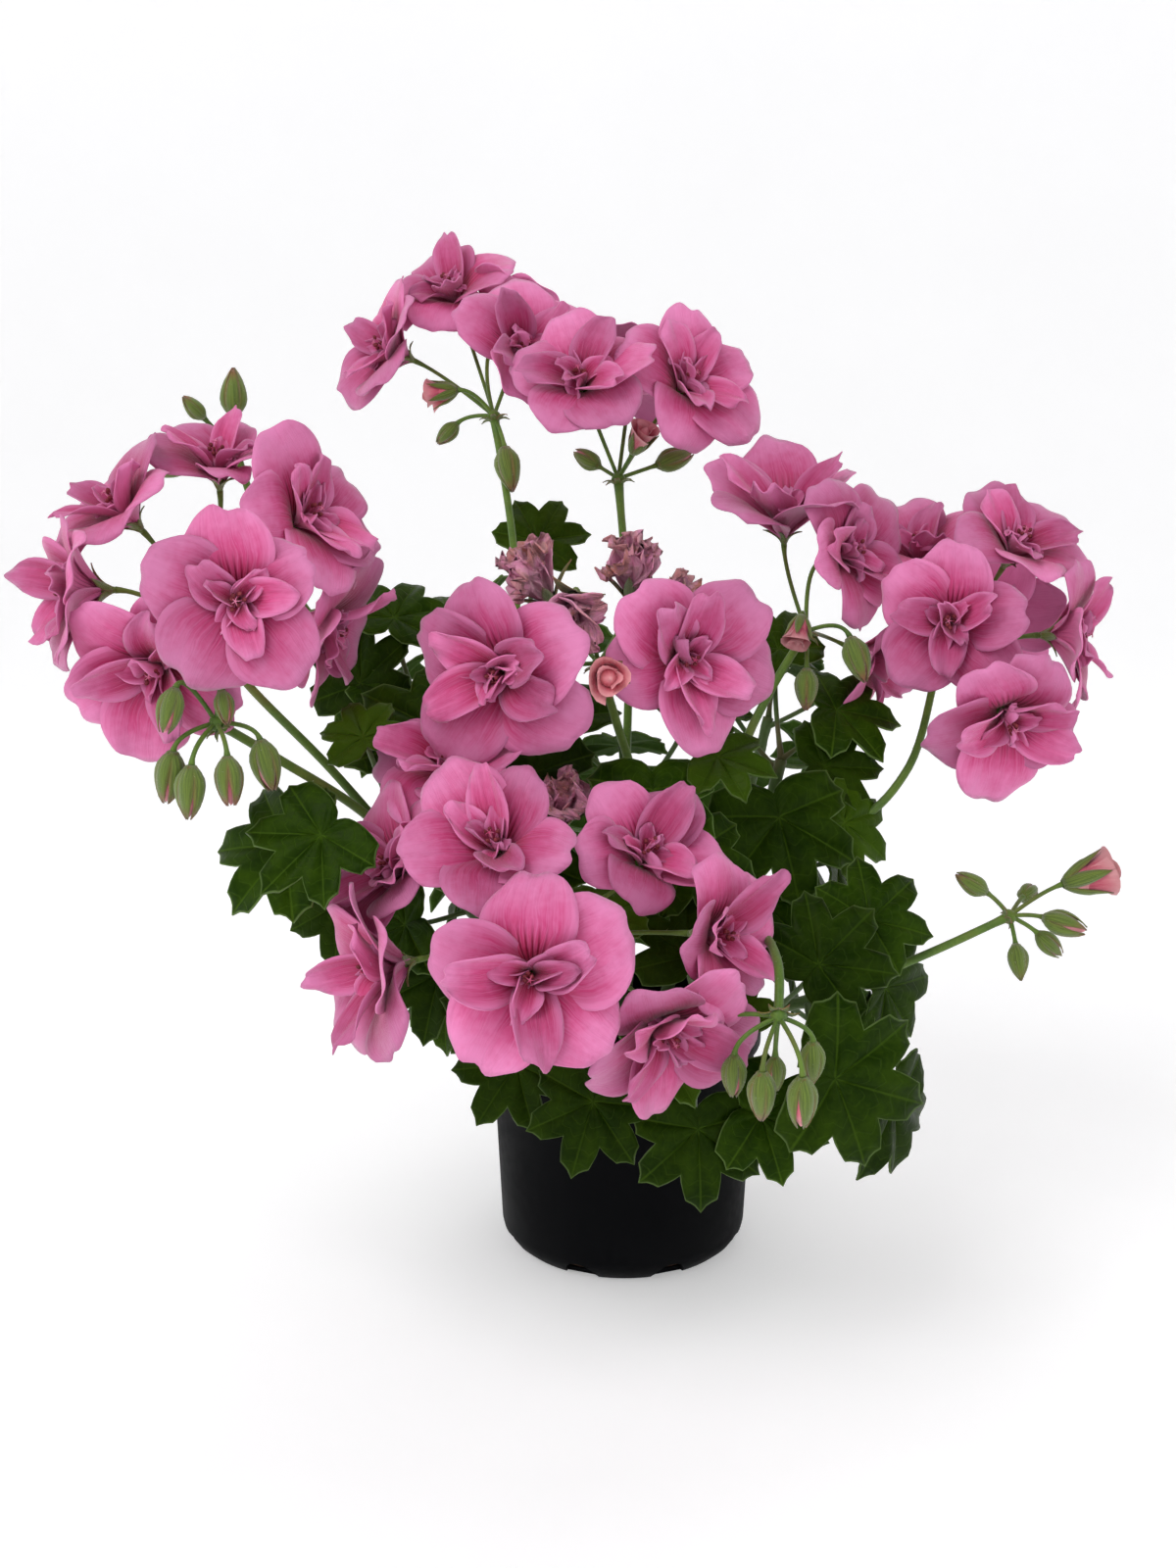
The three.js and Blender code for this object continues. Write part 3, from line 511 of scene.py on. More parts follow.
def thicken(piece: bpy.types.Object, thickness: float, back: int = 0, offset: float = -1.0) -> None:
    """Gives a thin blade its thickness.

    Args:
        piece: the blade.
        thickness: in millimetres.
        back: how many material slots after its own the back takes.
        offset: -1 grows the back away from the face, and 0 grows both.
    """
    wall = piece.modifiers.new("thickness", "SOLIDIFY")
    wall.thickness = thickness * MM
    wall.offset = offset
    wall.material_offset = back
    apply_modifiers(piece)


def shade(piece: bpy.types.Object, crease: float = 180.0) -> None:
    """Shades a piece smooth.

    Args:
        piece: the piece.
        crease: the angle in degrees past which an edge stays sharp.
    """
    select(piece)
    if crease < 180.0:
        bpy.ops.object.shade_smooth_by_angle(angle=math.radians(crease))
    else:
        bpy.ops.object.shade_smooth()


def give_traits(piece: bpy.types.Object, tone: float, marking: float = 0.0, age: float = 0.0) -> None:
    """Writes a piece's own tone, marking and age, or on a petal its painted shade, on its corners."""
    layer = piece.data.attributes.get(TRAITS) or piece.data.attributes.new(TRAITS, "FLOAT_VECTOR", "POINT")
    layer.data.foreach_set("vector", np.tile((tone, marking, age), len(piece.data.vertices)))


def dress(piece: bpy.types.Object, *materials: bpy.types.Material) -> None:
    """Gives a piece its materials in place of any others.

    Args:
        piece: the piece.
        materials: one for each of its material slots, in order.
    """
    piece.data.materials.clear()
    for material in materials:
        piece.data.materials.append(material)


def finish_piece(piece: bpy.types.Object, slot: str, *nodes: str) -> bpy.types.Object:
    """Fixes a finished piece to the plant.

    Args:
        piece: the piece, in place.
        slot: the name of the record's material slot for its finish; it is not used.
        nodes: the CAD nodes that it stands for.

    Returns:
        The same piece.
    """
    if nodes:
        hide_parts(*nodes)
    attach(piece, "root")
    piece.data.calc_loop_triangles()
    LOG.info("%s: %d triangles", piece.name, len(piece.data.loop_triangles))
    return piece


class Grid:
    """A flat grid that is modelled once, and whose copies are bent into petals, sepals and leaves."""

    def __init__(self, name: str, across: int, along: int) -> None:
        """Models the grid.

        Args:
            name: its name.
            across: its faces from side to side.
            along: its faces from foot to tip.
        """
        select()
        bpy.ops.mesh.primitive_grid_add(x_subdivisions=across, y_subdivisions=along, size=2.0)
        self.source = bpy.context.object
        self.source.name = name
        flat = corners(self.source)
        self.u = flat[:, 0]  # from -1 to 1 across
        self.v = (flat[:, 1] + 1.0) / 2.0  # from 0 at the foot to 1 at the tip

    def bent(self, points: Points) -> bpy.types.Object:
        """A copy of the grid with its corners at these points, in millimetres."""
        piece = copy_of(self.source)
        put_corners(piece, points)
        return piece

    def remove(self) -> None:
        """Takes the flat grid away once its copies are made."""
        bpy.data.objects.remove(self.source)


def turned(name: str, sides: int, foot: Ring, rings: Sequence[Ring]) -> bpy.types.Object:
    """A round body, raised ring by ring from a flat disc.

    Args:
        name: its name.
        sides: how many flats it has.
        foot: the disc.
        rings: the rings above it, in order.

    Returns:
        The body, with the face inside its last ring selected.
    """
    select()
    radius, height = foot
    bpy.ops.mesh.primitive_circle_add(
        vertices=sides, radius=radius * MM, fill_type="NGON", location=(0, 0, height * MM)
    )
    made = bpy.context.object
    made.name = name
    bpy.ops.object.transform_apply(location=True, rotation=False, scale=False)
    bpy.ops.object.mode_set(mode="EDIT")
    for r, z in rings:
        bpy.ops.mesh.extrude_region_move(TRANSFORM_OT_translate={"value": (0, 0, (z - height) * MM)})
        share = r / radius
        bpy.ops.transform.resize(value=(share, share, 1.0), center_override=(0, 0, z * MM))
        radius, height = r, z
    bpy.ops.object.mode_set(mode="OBJECT")
    return made


def tubes(name: str, runs: Sequence[tuple[Points, Points]], sides: int) -> bpy.types.Object:
    """Round stems of changing girth, closed at both ends, in one mesh.

    Args:
        name: the object's name.
        runs: for each stem its points and its radii, in millimetres.
        sides: how many flats each has, an even number from 4.

    Returns:
        The mesh object.
    """
    curve = bpy.data.curves.new(name, "CURVE")
    curve.dimensions = "3D"
    curve.bevel_depth = 1.0
    curve.bevel_resolution = (sides - 4) // 2
    curve.use_fill_caps = True
    for points, radii in runs:
        spline = curve.splines.new("POLY")
        spline.points.add(len(points) - 1)
        homogeneous = np.hstack([points * MM, np.ones((len(points), 1))])
        spline.points.foreach_set("co", homogeneous.astype(np.float32).ravel())
        spline.points.foreach_set("radius", (np.asarray(radii, float) * MM).astype(np.float32))
    piece = linked(name, curve)
    select(piece)
    bpy.ops.object.convert(target="MESH")
    piece = bpy.context.object
    tidy_mesh(piece)
    return piece


# Shader nodes.


def rgba(colour: Colour) -> tuple[float, float, float, float]:
    """A colour as a socket takes it."""
    return (*colour, 1.0)


class Graph:
    """A node tree that is written down step by step."""

    def __init__(self, tree: bpy.types.NodeTree) -> None:
        """Starts on a tree."""
        self.tree = tree

    def node(self, kind: str, **settings: object) -> bpy.types.Node:
        """A new node.

        Args:
            kind: its type.
            settings: its settings by name.

        Returns:
            The node.
        """
        made = self.tree.nodes.new(kind)
        for name, value in settings.items():
            setattr(made, name, value)
        return made

    def feed(self, value: object, socket: bpy.types.NodeSocket) -> None:
        """Links a socket to another, or sets it to a constant.

        Args:
            value: the other socket, or the constant.
            socket: the socket that is fed.
        """
        if isinstance(value, bpy.types.NodeSocket):
            self.tree.links.new(value, socket)
        else:
            socket.default_value = value

    def math(self, operation: str, a: object, b: object = 0.0, clamp: bool = False) -> bpy.types.NodeSocket:
        """The outcome of a math node.

        Args:
            operation: what it does.
            a: its first value.
            b: its second value, where it takes one.
            clamp: True holds the outcome between 0 and 1.

        Returns:
            The outcome.
        """
        made = self.node("ShaderNodeMath", operation=operation, use_clamp=clamp)
        self.feed(a, made.inputs[0])
        self.feed(b, made.inputs[1])
        return made.outputs[0]

    def times(self, a: object, b: object) -> bpy.types.NodeSocket:
        """One value times another."""
        return self.math("MULTIPLY", a, b)

    def plus(self, a: object, b: object, clamp: bool = False) -> bpy.types.NodeSocket:
        """One value and another."""
        return self.math("ADD", a, b, clamp)

    def minus(self, a: object, b: object) -> bpy.types.NodeSocket:
        """One value less another."""
        return self.math("SUBTRACT", a, b)

    def larger(self, a: object, b: object) -> bpy.types.NodeSocket:
        """The larger of two values."""
        return self.math("MAXIMUM", a, b)

    def size(self, value: object) -> bpy.types.NodeSocket:
        """A value without its sign."""
        return self.math("ABSOLUTE", value)

    def swing(self, value: object, width: object) -> bpy.types.NodeSocket:
        """A value from 0 to 1 as a swing to both sides of 0, over a width."""
        return self.times(self.minus(value, 0.5), width)

    def aside(self, x: object) -> bpy.types.NodeSocket:
        """How far out a place on a blade is, from 0 on its middle line to 1 at either side."""
        return self.size(self.minus(self.times(x, 2.0), 1.0))

    def off_whole(self, value: object) -> bpy.types.NodeSocket:
        """How far a value is from the nearest whole number."""
        return self.size(self.minus(value, self.math("ROUND", value)))

    def scaled(
        self, value: object, low: float, high: float, to: Numbers = (0.0, 1.0)
    ) -> bpy.types.NodeSocket:
        """A value taken smoothly from one range to another, and held inside it.

        Args:
            value: the value.
            low: where its range starts.
            high: where its range ends.
            to: the range that it is taken to.

        Returns:
            The new value.
        """
        made = self.node("ShaderNodeMapRange", interpolation_type="SMOOTHSTEP")
        self.feed(value, made.inputs["Value"])
        made.inputs["From Min"].default_value = low
        made.inputs["From Max"].default_value = high
        made.inputs["To Min"].default_value = to[0]
        made.inputs["To Max"].default_value = to[1]
        return made.outputs["Result"]

    def mix(self, share: object, a: object, b: object, blend: str = "MIX") -> bpy.types.NodeSocket:
        """Two colours mixed.

        Args:
            share: how much of the second is taken.
            a: the first.
            b: the second.
            blend: how they are mixed.

        Returns:
            The mixed colour.
        """
        made = self.node("ShaderNodeMix", data_type="RGBA", blend_type=blend, clamp_factor=True)
        self.feed(share, made.inputs[0])
        self.feed(a, made.inputs[6])
        self.feed(b, made.inputs[7])
        return made.outputs[2]

    def laid(self, colour: object, top: Colour, mask: object, most: object) -> bpy.types.NodeSocket:
        """A colour with another laid over it.

        Args:
            colour: the colour below.
            top: the colour over it.
            mask: where the top is laid, from 0 to 1.
            most: how much of it is laid at the most.

        Returns:
            The new colour.
        """
        return self.mix(self.times(mask, most), colour, rgba(top))

    def toned(self, colour: object, tone: object, tones: Numbers) -> bpy.types.NodeSocket:
        """A colour made darker or lighter by a piece's own tone.

        Args:
            colour: the colour.
            tone: the tone, from 0 to 1.
            tones: the brightness at 0 and at 1.

        Returns:
            The new colour.
        """
        depth = self.scaled(tone, 0.0, 1.0, tones)
        return self.mix(1.0, colour, self.vector(depth, depth, depth), "MULTIPLY")

    def noise(
        self, at: object, scale: object, detail: float = 3.0, rough: float = 0.55
    ) -> bpy.types.NodeSocket:
        """A cloudy value from 0 to 1.

        Args:
            at: the place.
            scale: how many clouds there are in one unit of length.
            detail: how many finer layers they have.
            rough: how strong the finer layers are.

        Returns:
            The value.
        """
        made = self.node("ShaderNodeTexNoise")
        self.feed(at, made.inputs["Vector"])
        self.feed(scale, made.inputs["Scale"])
        made.inputs["Detail"].default_value = detail
        made.inputs["Roughness"].default_value = rough
        return made.outputs["Fac"]

    def parts(self, vector: object) -> list[bpy.types.NodeSocket]:
        """A vector's x, y and z."""
        made = self.node("ShaderNodeSeparateXYZ")
        self.feed(vector, made.inputs[0])
        return list(made.outputs)

    def vector(self, x: object, y: object, z: object = 0.0) -> bpy.types.NodeSocket:
        """A vector from its x, y and z."""
        made = self.node("ShaderNodeCombineXYZ")
        for value, socket in zip((x, y, z), made.inputs):
            self.feed(value, socket)
        return made.outputs[0]

    def place(self) -> bpy.types.NodeSocket:
        """The place on the object, in metres."""
        return self.node("ShaderNodeTexCoord").outputs["Object"]

    def blade(self) -> bpy.types.NodeSocket:
        """The place on a blade, x across and y along, from 0 to 1."""
        return self.node("ShaderNodeTexCoord").outputs["UV"]

    def traits(self) -> list[bpy.types.NodeSocket]:
        """A piece's tone, marking and age, or on a petal its painted shade."""
        return self.parts(self.node("ShaderNodeAttribute", attribute_name=TRAITS).outputs["Vector"])

    def bump(self, height: object, depth: float, strength: float = 1.0) -> bpy.types.NodeSocket:
        """A normal that follows a height.

        Args:
            height: the height, from 0 to 1.
            depth: what 1 stands for, in millimetres.
            strength: how much of the bump shows.

        Returns:
            The normal.
        """
        made = self.node("ShaderNodeBump")
        made.inputs["Strength"].default_value = strength
        made.inputs["Distance"].default_value = depth * MM
        self.feed(height, made.inputs["Height"])
        return made.outputs["Normal"]

    def group(self, tree: bpy.types.NodeTree, **values: object) -> bpy.types.NodeSocket:
        """A shared group's outcome.

        Args:
            tree: the group.
            values: what its inputs are fed with, by name.

        Returns:
            Its one output.
        """
        made = self.node("ShaderNodeGroup", node_tree=tree)
        for name, value in values.items():
            self.feed(value, made.inputs[name])
        return made.outputs[0]


FLOAT = "NodeSocketFloat"
VECTOR = "NodeSocketVector"


def new_group(name: str, inputs: dict[str, str], output: str) -> tuple[Graph, list, bpy.types.NodeSocket]:
    """An empty shared node group that puts out one value.

    Args:
        name: its name.
        inputs: each input's name and socket kind.
        output: its output's name.

    Returns:
        Its graph, its inputs in order and its output.
    """
    tree = bpy.data.node_groups.new(name, "ShaderNodeTree")
    for label, kind in inputs.items():
        tree.interface.new_socket(label, in_out="INPUT", socket_type=kind)
    tree.interface.new_socket(output, in_out="OUTPUT", socket_type=FLOAT)
    g = Graph(tree)
    given = g.node("NodeGroupInput")
    return g, [given.outputs[label] for label in inputs], g.node("NodeGroupOutput").inputs[output]


def striae_group() -> bpy.types.NodeTree:
    """Fine lines that run from the foot of a blade to its tip and waver a little.

    Returns:
        The group, from 0 between the lines to 1 on them.
    """
    g, (blade, count, waver), result = new_group(
        "striae", {"Blade": VECTOR, "Lines": FLOAT, "Waver": FLOAT}, "Lines"
    )
    x, y, _ = g.parts(blade)
    wide = g.vector(g.times(x, 7.0), g.times(y, 2.2))
    sway = g.swing(g.noise(wide, 1.0, 2.0), waver)
    stretched = g.vector(g.times(g.plus(x, sway), count), g.times(y, 1.2))
    g.feed(g.scaled(g.noise(stretched, 1.0, 3.0, 0.65), 0.32, 0.68), result)
    return g.tree


def mottle_group() -> bpy.types.NodeTree:
    """Soft blotches with a finer grain in them, as on growing skin.

    Returns:
        The group, from 0 to 1.
    """
    g, (place, blotch, grain), result = new_group(
        "mottle", {"Place": VECTOR, "Blotch": FLOAT, "Grain": FLOAT}, "Mottle"
    )
    coarse, fine = (g.noise(place, scale, 2.0, 0.5) for scale in (blotch, grain))
    g.feed(g.scaled(g.plus(g.times(coarse, 0.7), g.times(fine, 0.3)), 0.3, 0.7), result)
    return g.tree


@dataclass(frozen=True)
class Shared:
    """The node groups that several finishes use."""

    striae: bpy.types.NodeTree
    mottle: bpy.types.NodeTree


def start_material(
    name: str, **constants: float | Numbers
) -> tuple[Graph, bpy.types.NodeInputs, bpy.types.Material]:
    """A material with a Principled shader and its constants set.

    Args:
        name: its name.
        constants: socket names, with _ for a space, and their values.

    Returns:
        Its graph, its shader's sockets and the material.
    """
    material = bpy.data.materials.new(name)
    material.use_nodes = True
    sockets = material.node_tree.nodes["Principled BSDF"].inputs
    for socket, value in constants.items():
        sockets[socket.replace("_", " ")].default_value = value
    return Graph(material.node_tree), sockets, material


@dataclass(frozen=True)
class PetalFinish:
    """Satin petal skin: deep at the claw, with painted shade in the throat, clear in the middle and pale at
    the edge.
    """

    name: str
    # The throat colour is the petal's own deep throat, made darker still as painted shade.
    throat_and_shade: Colour
    middle: Colour
    edge: Colour
    vein: Colour
    back: float = 0.0  # how much paler the whole is, for the outer side of a petal
    lines: float = 46.0  # fine lines across a petal
    teeth: float = 40.0  # how finely the veins are feathered
    tones: Numbers = (0.78, 1.12)

    def build(self, shared: Shared) -> bpy.types.Material:
        """Builds the material.

        Args:
            shared: the shared node groups.

        Returns:
            The material.
        """
        g, sockets, material = start_material(
            self.name, Roughness=0.55, Specular_IOR_Level=0.25, Sheen_Weight=0.26, Sheen_Roughness=0.35
        )
        blade = g.blade()
        x, y, _ = g.parts(blade)
        aside = g.aside(x)
        # inward is how deep the petal stands in the bloom, which sets its painted shade.
        tone, marking, inward = g.traits()
        lines = g.group(shared.striae, Blade=blade, Lines=self.lines, Waver=0.16)
        mottle = g.group(shared.mottle, Place=g.place(), Blotch=90.0, Grain=420.0)
        # Painted shade: petals that stand further in keep more of the dark throat, as if shaded deep in the
        # bloom.
        reach = g.minus(g.plus(y, g.swing(mottle, 0.22)), g.times(inward, 0.3))
        colour = g.mix(g.scaled(reach, 0.1, 0.6), rgba(self.throat_and_shade), rgba(self.middle))
        rim = g.larger(g.scaled(reach, 0.45, 1.02), g.times(g.scaled(aside, 0.6, 1.0), 0.8))
        colour = g.laid(colour, self.edge, rim, 0.92)
        colour = g.laid(colour, self.edge, lines, 0.36)
        if self.back:
            colour = g.mix(self.back, colour, rgba(self.edge))
        # The veins lie near the middle line, from the throat to half way up.
        comb = g.size(g.math("SINE", g.times(x, self.teeth)))
        feather = g.times(g.times(g.scaled(aside, 0.7, 0.2), g.scaled(y, 0.66, 0.36)), marking)
        feather = g.times(feather, g.times(g.scaled(y, 0.1, 0.22), g.scaled(comb, 0.85, 0.2)))
        colour = g.laid(colour, self.vein, feather, 1.0 - self.back)
        g.feed(g.toned(colour, tone, self.tones), sockets["Base Color"])
        g.feed(g.bump(lines, 0.16, 0.6), sockets["Normal"])
        return material


@dataclass(frozen=True)
class FadedFinish:
    """A petal that has dried: dull mauve, brown at the tip and creased."""

    name: str
    fresh: Colour
    dull: Colour
    brown: Colour
    lines: float = 34.0

    def build(self, shared: Shared) -> bpy.types.Material:
        """Builds the material.

        Args:
            shared: the shared node groups.

        Returns:
            The material.
        """
        g, sockets, material = start_material(
            self.name, Roughness=0.75, Specular_IOR_Level=0.2, Sheen_Weight=0.2
        )
        blade = g.blade()
        _, y, _ = g.parts(blade)
        _, _, age = g.traits()
        lines = g.group(shared.striae, Blade=blade, Lines=self.lines, Waver=0.4)
        mottle = g.group(shared.mottle, Place=g.place(), Blotch=160.0, Grain=800.0)
        colour = g.laid(rgba(self.fresh), self.dull, mottle, age)
        tip = g.scaled(g.plus(y, g.swing(mottle, 0.7)), 0.68, 1.0)
        colour = g.laid(colour, self.brown, tip, age)
        g.feed(g.laid(colour, self.dull, lines, 0.35), sockets["Base Color"])
        g.feed(g.bump(lines, 0.35), sockets["Normal"])
        return material


@dataclass(frozen=True)
class LeafFinish:
    """Fleshy leaf skin with sunken pale ribs and a thin pale margin.

    Across a leaf, x runs round from one side of its notch to the other, over six spaces between ribs.
    """

    name: str
    deep: Colour
    light: Colour
    rib: Colour
    margin: Colour
    young: Colour
    roughness: float
    spaces: float = 6.0
    veins: float = 5.0  # branching veins along a rib
    slant: float = 3.6
    tones: Numbers = (0.72, 1.25)

    def build(self, shared: Shared) -> bpy.types.Material:
        """Builds the material.

        Args:
            shared: the shared node groups.

        Returns:
            The material.
        """
        g, sockets, material = start_material(
            self.name, Specular_IOR_Level=0.07, Specular_Tint=(0.85, 1.0, 0.5, 1.0)
        )
        x, y, _ = g.parts(g.blade())
        tone, _, age = g.traits()
        round_leaf = g.times(x, self.spaces)
        off_rib = g.off_whole(round_leaf)
        from_front = g.size(g.minus(round_leaf, self.spaces / 2))
        rib = g.scaled(g.times(off_rib, g.larger(y, 0.05)), 0.026, 0.006)
        rib = g.times(rib, g.scaled(from_front, 2.6, 2.4))  # the notch has no rib
        nearest = g.off_whole(g.minus(g.times(y, self.veins), g.times(off_rib, self.slant)))
        vein = g.times(g.scaled(nearest, 0.09, 0.01), g.scaled(y, 0.15, 0.4))
        mottle = g.group(shared.mottle, Place=g.place(), Blotch=110.0, Grain=650.0)
        colour = g.mix(mottle, rgba(self.deep), rgba(self.light))
        zone = g.times(g.scaled(y, 0.1, 0.34), g.scaled(y, 0.66, 0.42))
        colour = g.laid(colour, self.deep, zone, 0.25)
        colour = g.laid(colour, self.young, age, 0.75)
        colour = g.laid(colour, self.rib, vein, 0.22)
        colour = g.laid(colour, self.rib, rib, 0.6)
        colour = g.laid(colour, self.margin, g.scaled(y, 0.965, 0.995), 0.7)
        g.feed(g.toned(colour, tone, self.tones), sockets["Base Color"])
        rough = g.scaled(mottle, 0.0, 1.0, (self.roughness - 0.08, self.roughness + 0.1))
        g.feed(rough, sockets["Roughness"])
        height = g.minus(g.times(mottle, 0.35), g.larger(rib, g.times(vein, 0.5)))
        g.feed(g.bump(height, 0.3, 0.5), sockets["Normal"])
        return material


@dataclass(frozen=True)
class StalkFinish:
    """Juicy green skin with a fine grain and a blush in places."""

    name: str
    green: Colour
    pale: Colour
    blush: Colour
    blushed: float

    def build(self, shared: Shared) -> bpy.types.Material:
        """Builds the material.

        Args:
            shared: the shared node groups.

        Returns:
            The material.
        """
        g, sockets, material = start_material(self.name, Specular_IOR_Level=0.35, Sheen_Weight=0.15)
        place = g.place()
        mottle = g.group(shared.mottle, Place=place, Blotch=70.0, Grain=900.0)
        fine = g.noise(place, 1500.0, 2.0)
        patch = g.scaled(g.noise(place, 45.0), 0.5, 0.72)
        colour = g.mix(mottle, rgba(self.green), rgba(self.pale))
        g.feed(g.laid(colour, self.blush, patch, self.blushed), sockets["Base Color"])
        g.feed(g.scaled(fine, 0.3, 0.7, (0.42, 0.6)), sockets["Roughness"])
        g.feed(g.bump(fine, 0.12, 0.5), sockets["Normal"])
        return material


@dataclass(frozen=True)
class SepalFinish:
    """A sepal: green with lengthwise ribs, and a blush at its edges and tip."""

    name: str
    green: Colour
    pale: Colour
    blush: Colour
    ribs: float = 16.0
    blushed: Numbers = (0.15, 0.9)

    def build(self, shared: Shared) -> bpy.types.Material:
        """Builds the material.

        Args:
            shared: the shared node groups.

        Returns:
            The material.
        """
        g, sockets, material = start_material(
            self.name, Roughness=0.55, Specular_IOR_Level=0.3, Sheen_Weight=0.3
        )
        blade = g.blade()
        x, y, _ = g.parts(blade)
        tone, _, _ = g.traits()
        ribs = g.group(shared.striae, Blade=blade, Lines=self.ribs, Waver=0.1)
        colour = g.mix(ribs, rgba(self.green), rgba(self.pale))
        edge = g.larger(g.times(g.scaled(g.aside(x), 0.55, 1.0), 0.55), g.scaled(y, 0.72, 1.0))
        colour = g.laid(colour, self.blush, edge, g.scaled(tone, 0.0, 1.0, self.blushed))
        g.feed(colour, sockets["Base Color"])
        g.feed(g.bump(ribs, 0.15, 0.7), sockets["Normal"])
        return material


@dataclass(frozen=True)
class PlasticFinish:
    """Matte black moulded plastic with faint scuffs, and dust towards its foot."""

    name: str
    black: Colour
    dust: Colour
    dusty_height: float = 30.0
    even_dust: float = 0.06
    low_dust: float = 0.16

    def build(self, shared: Shared) -> bpy.types.Material:
        """Builds the material.

        Args:
            shared: the shared node groups.

        Returns:
            The material.
        """
        g, sockets, material = start_material(self.name, Specular_IOR_Level=0.05)
        place = g.place()
        x, y, z = g.parts(place)
        drawn = g.vector(x, y, g.times(z, 0.12))
        patches = g.scaled(g.noise(place, 28.0), 0.45, 0.7)
        scuff = g.times(g.scaled(g.noise(drawn, 900.0, 4.0, 0.7), 0.62, 0.78), patches)
        mottle = g.group(shared.mottle, Place=place, Blotch=24.0, Grain=260.0)
        low = g.scaled(z, self.dusty_height * MM, 0.0)
        dust = g.times(mottle, g.plus(self.even_dust, g.times(low, self.low_dust)))
        share = g.plus(dust, g.times(scuff, 0.12), clamp=True)
        g.feed(g.mix(share, rgba(self.black), rgba(self.dust)), sockets["Base Color"])
        g.feed(g.scaled(g.plus(mottle, scuff), 0.0, 1.6, (0.5, 0.75)), sockets["Roughness"])
        g.feed(g.bump(g.plus(g.noise(place, 2600.0, 2.0), scuff), 0.05, 0.5), sockets["Normal"])
        return material


@dataclass(frozen=True)
class SoilFinish:
    """Damp peat with lighter fibres."""

    name: str
    peat: Colour
    crumb: Colour
    fibre: Colour

    def build(self, shared: Shared) -> bpy.types.Material:
        """Builds the material.

        Args:
            shared: the shared node groups.

        Returns:
            The material.
        """
        g, sockets, material = start_material(self.name, Roughness=0.93, Specular_IOR_Level=0.15)
        place = g.place()
        mottle = g.group(shared.mottle, Place=place, Blotch=260.0, Grain=1400.0)
        x, y, z = g.parts(place)
        strand = g.vector(g.times(x, 0.25), y, g.times(z, 0.5))
        fibre = g.scaled(g.noise(strand, 1600.0, 3.0, 0.6), 0.62, 0.74)
        colour = g.mix(mottle, rgba(self.peat), rgba(self.crumb))
        g.feed(g.laid(colour, self.fibre, fibre, 0.5), sockets["Base Color"])
        g.feed(g.bump(g.plus(mottle, fibre), 0.8), sockets["Normal"])
        return material


@dataclass(frozen=True)
class TinyFinish:
    """A soft change of tone, for parts too small for a pattern of their own: anthers, threads and hairs."""

    name: str
    dark: Colour
    light: Colour
    roughness: float = 0.6

    def build(self, shared: Shared) -> bpy.types.Material:
        """Builds the material.

        Args:
            shared: the shared node groups.

        Returns:
            The material.
        """
        g, sockets, material = start_material(self.name, Roughness=self.roughness, Specular_IOR_Level=0.25)
        mottle = g.group(shared.mottle, Place=g.place(), Blotch=400.0, Grain=2500.0)
        g.feed(g.mix(mottle, rgba(self.dark), rgba(self.light)), sockets["Base Color"])
        return material


PETAL_EDGE = (0.75, 0.24, 0.48)
PETAL_VEIN = (0.2, 0.002, 0.03)


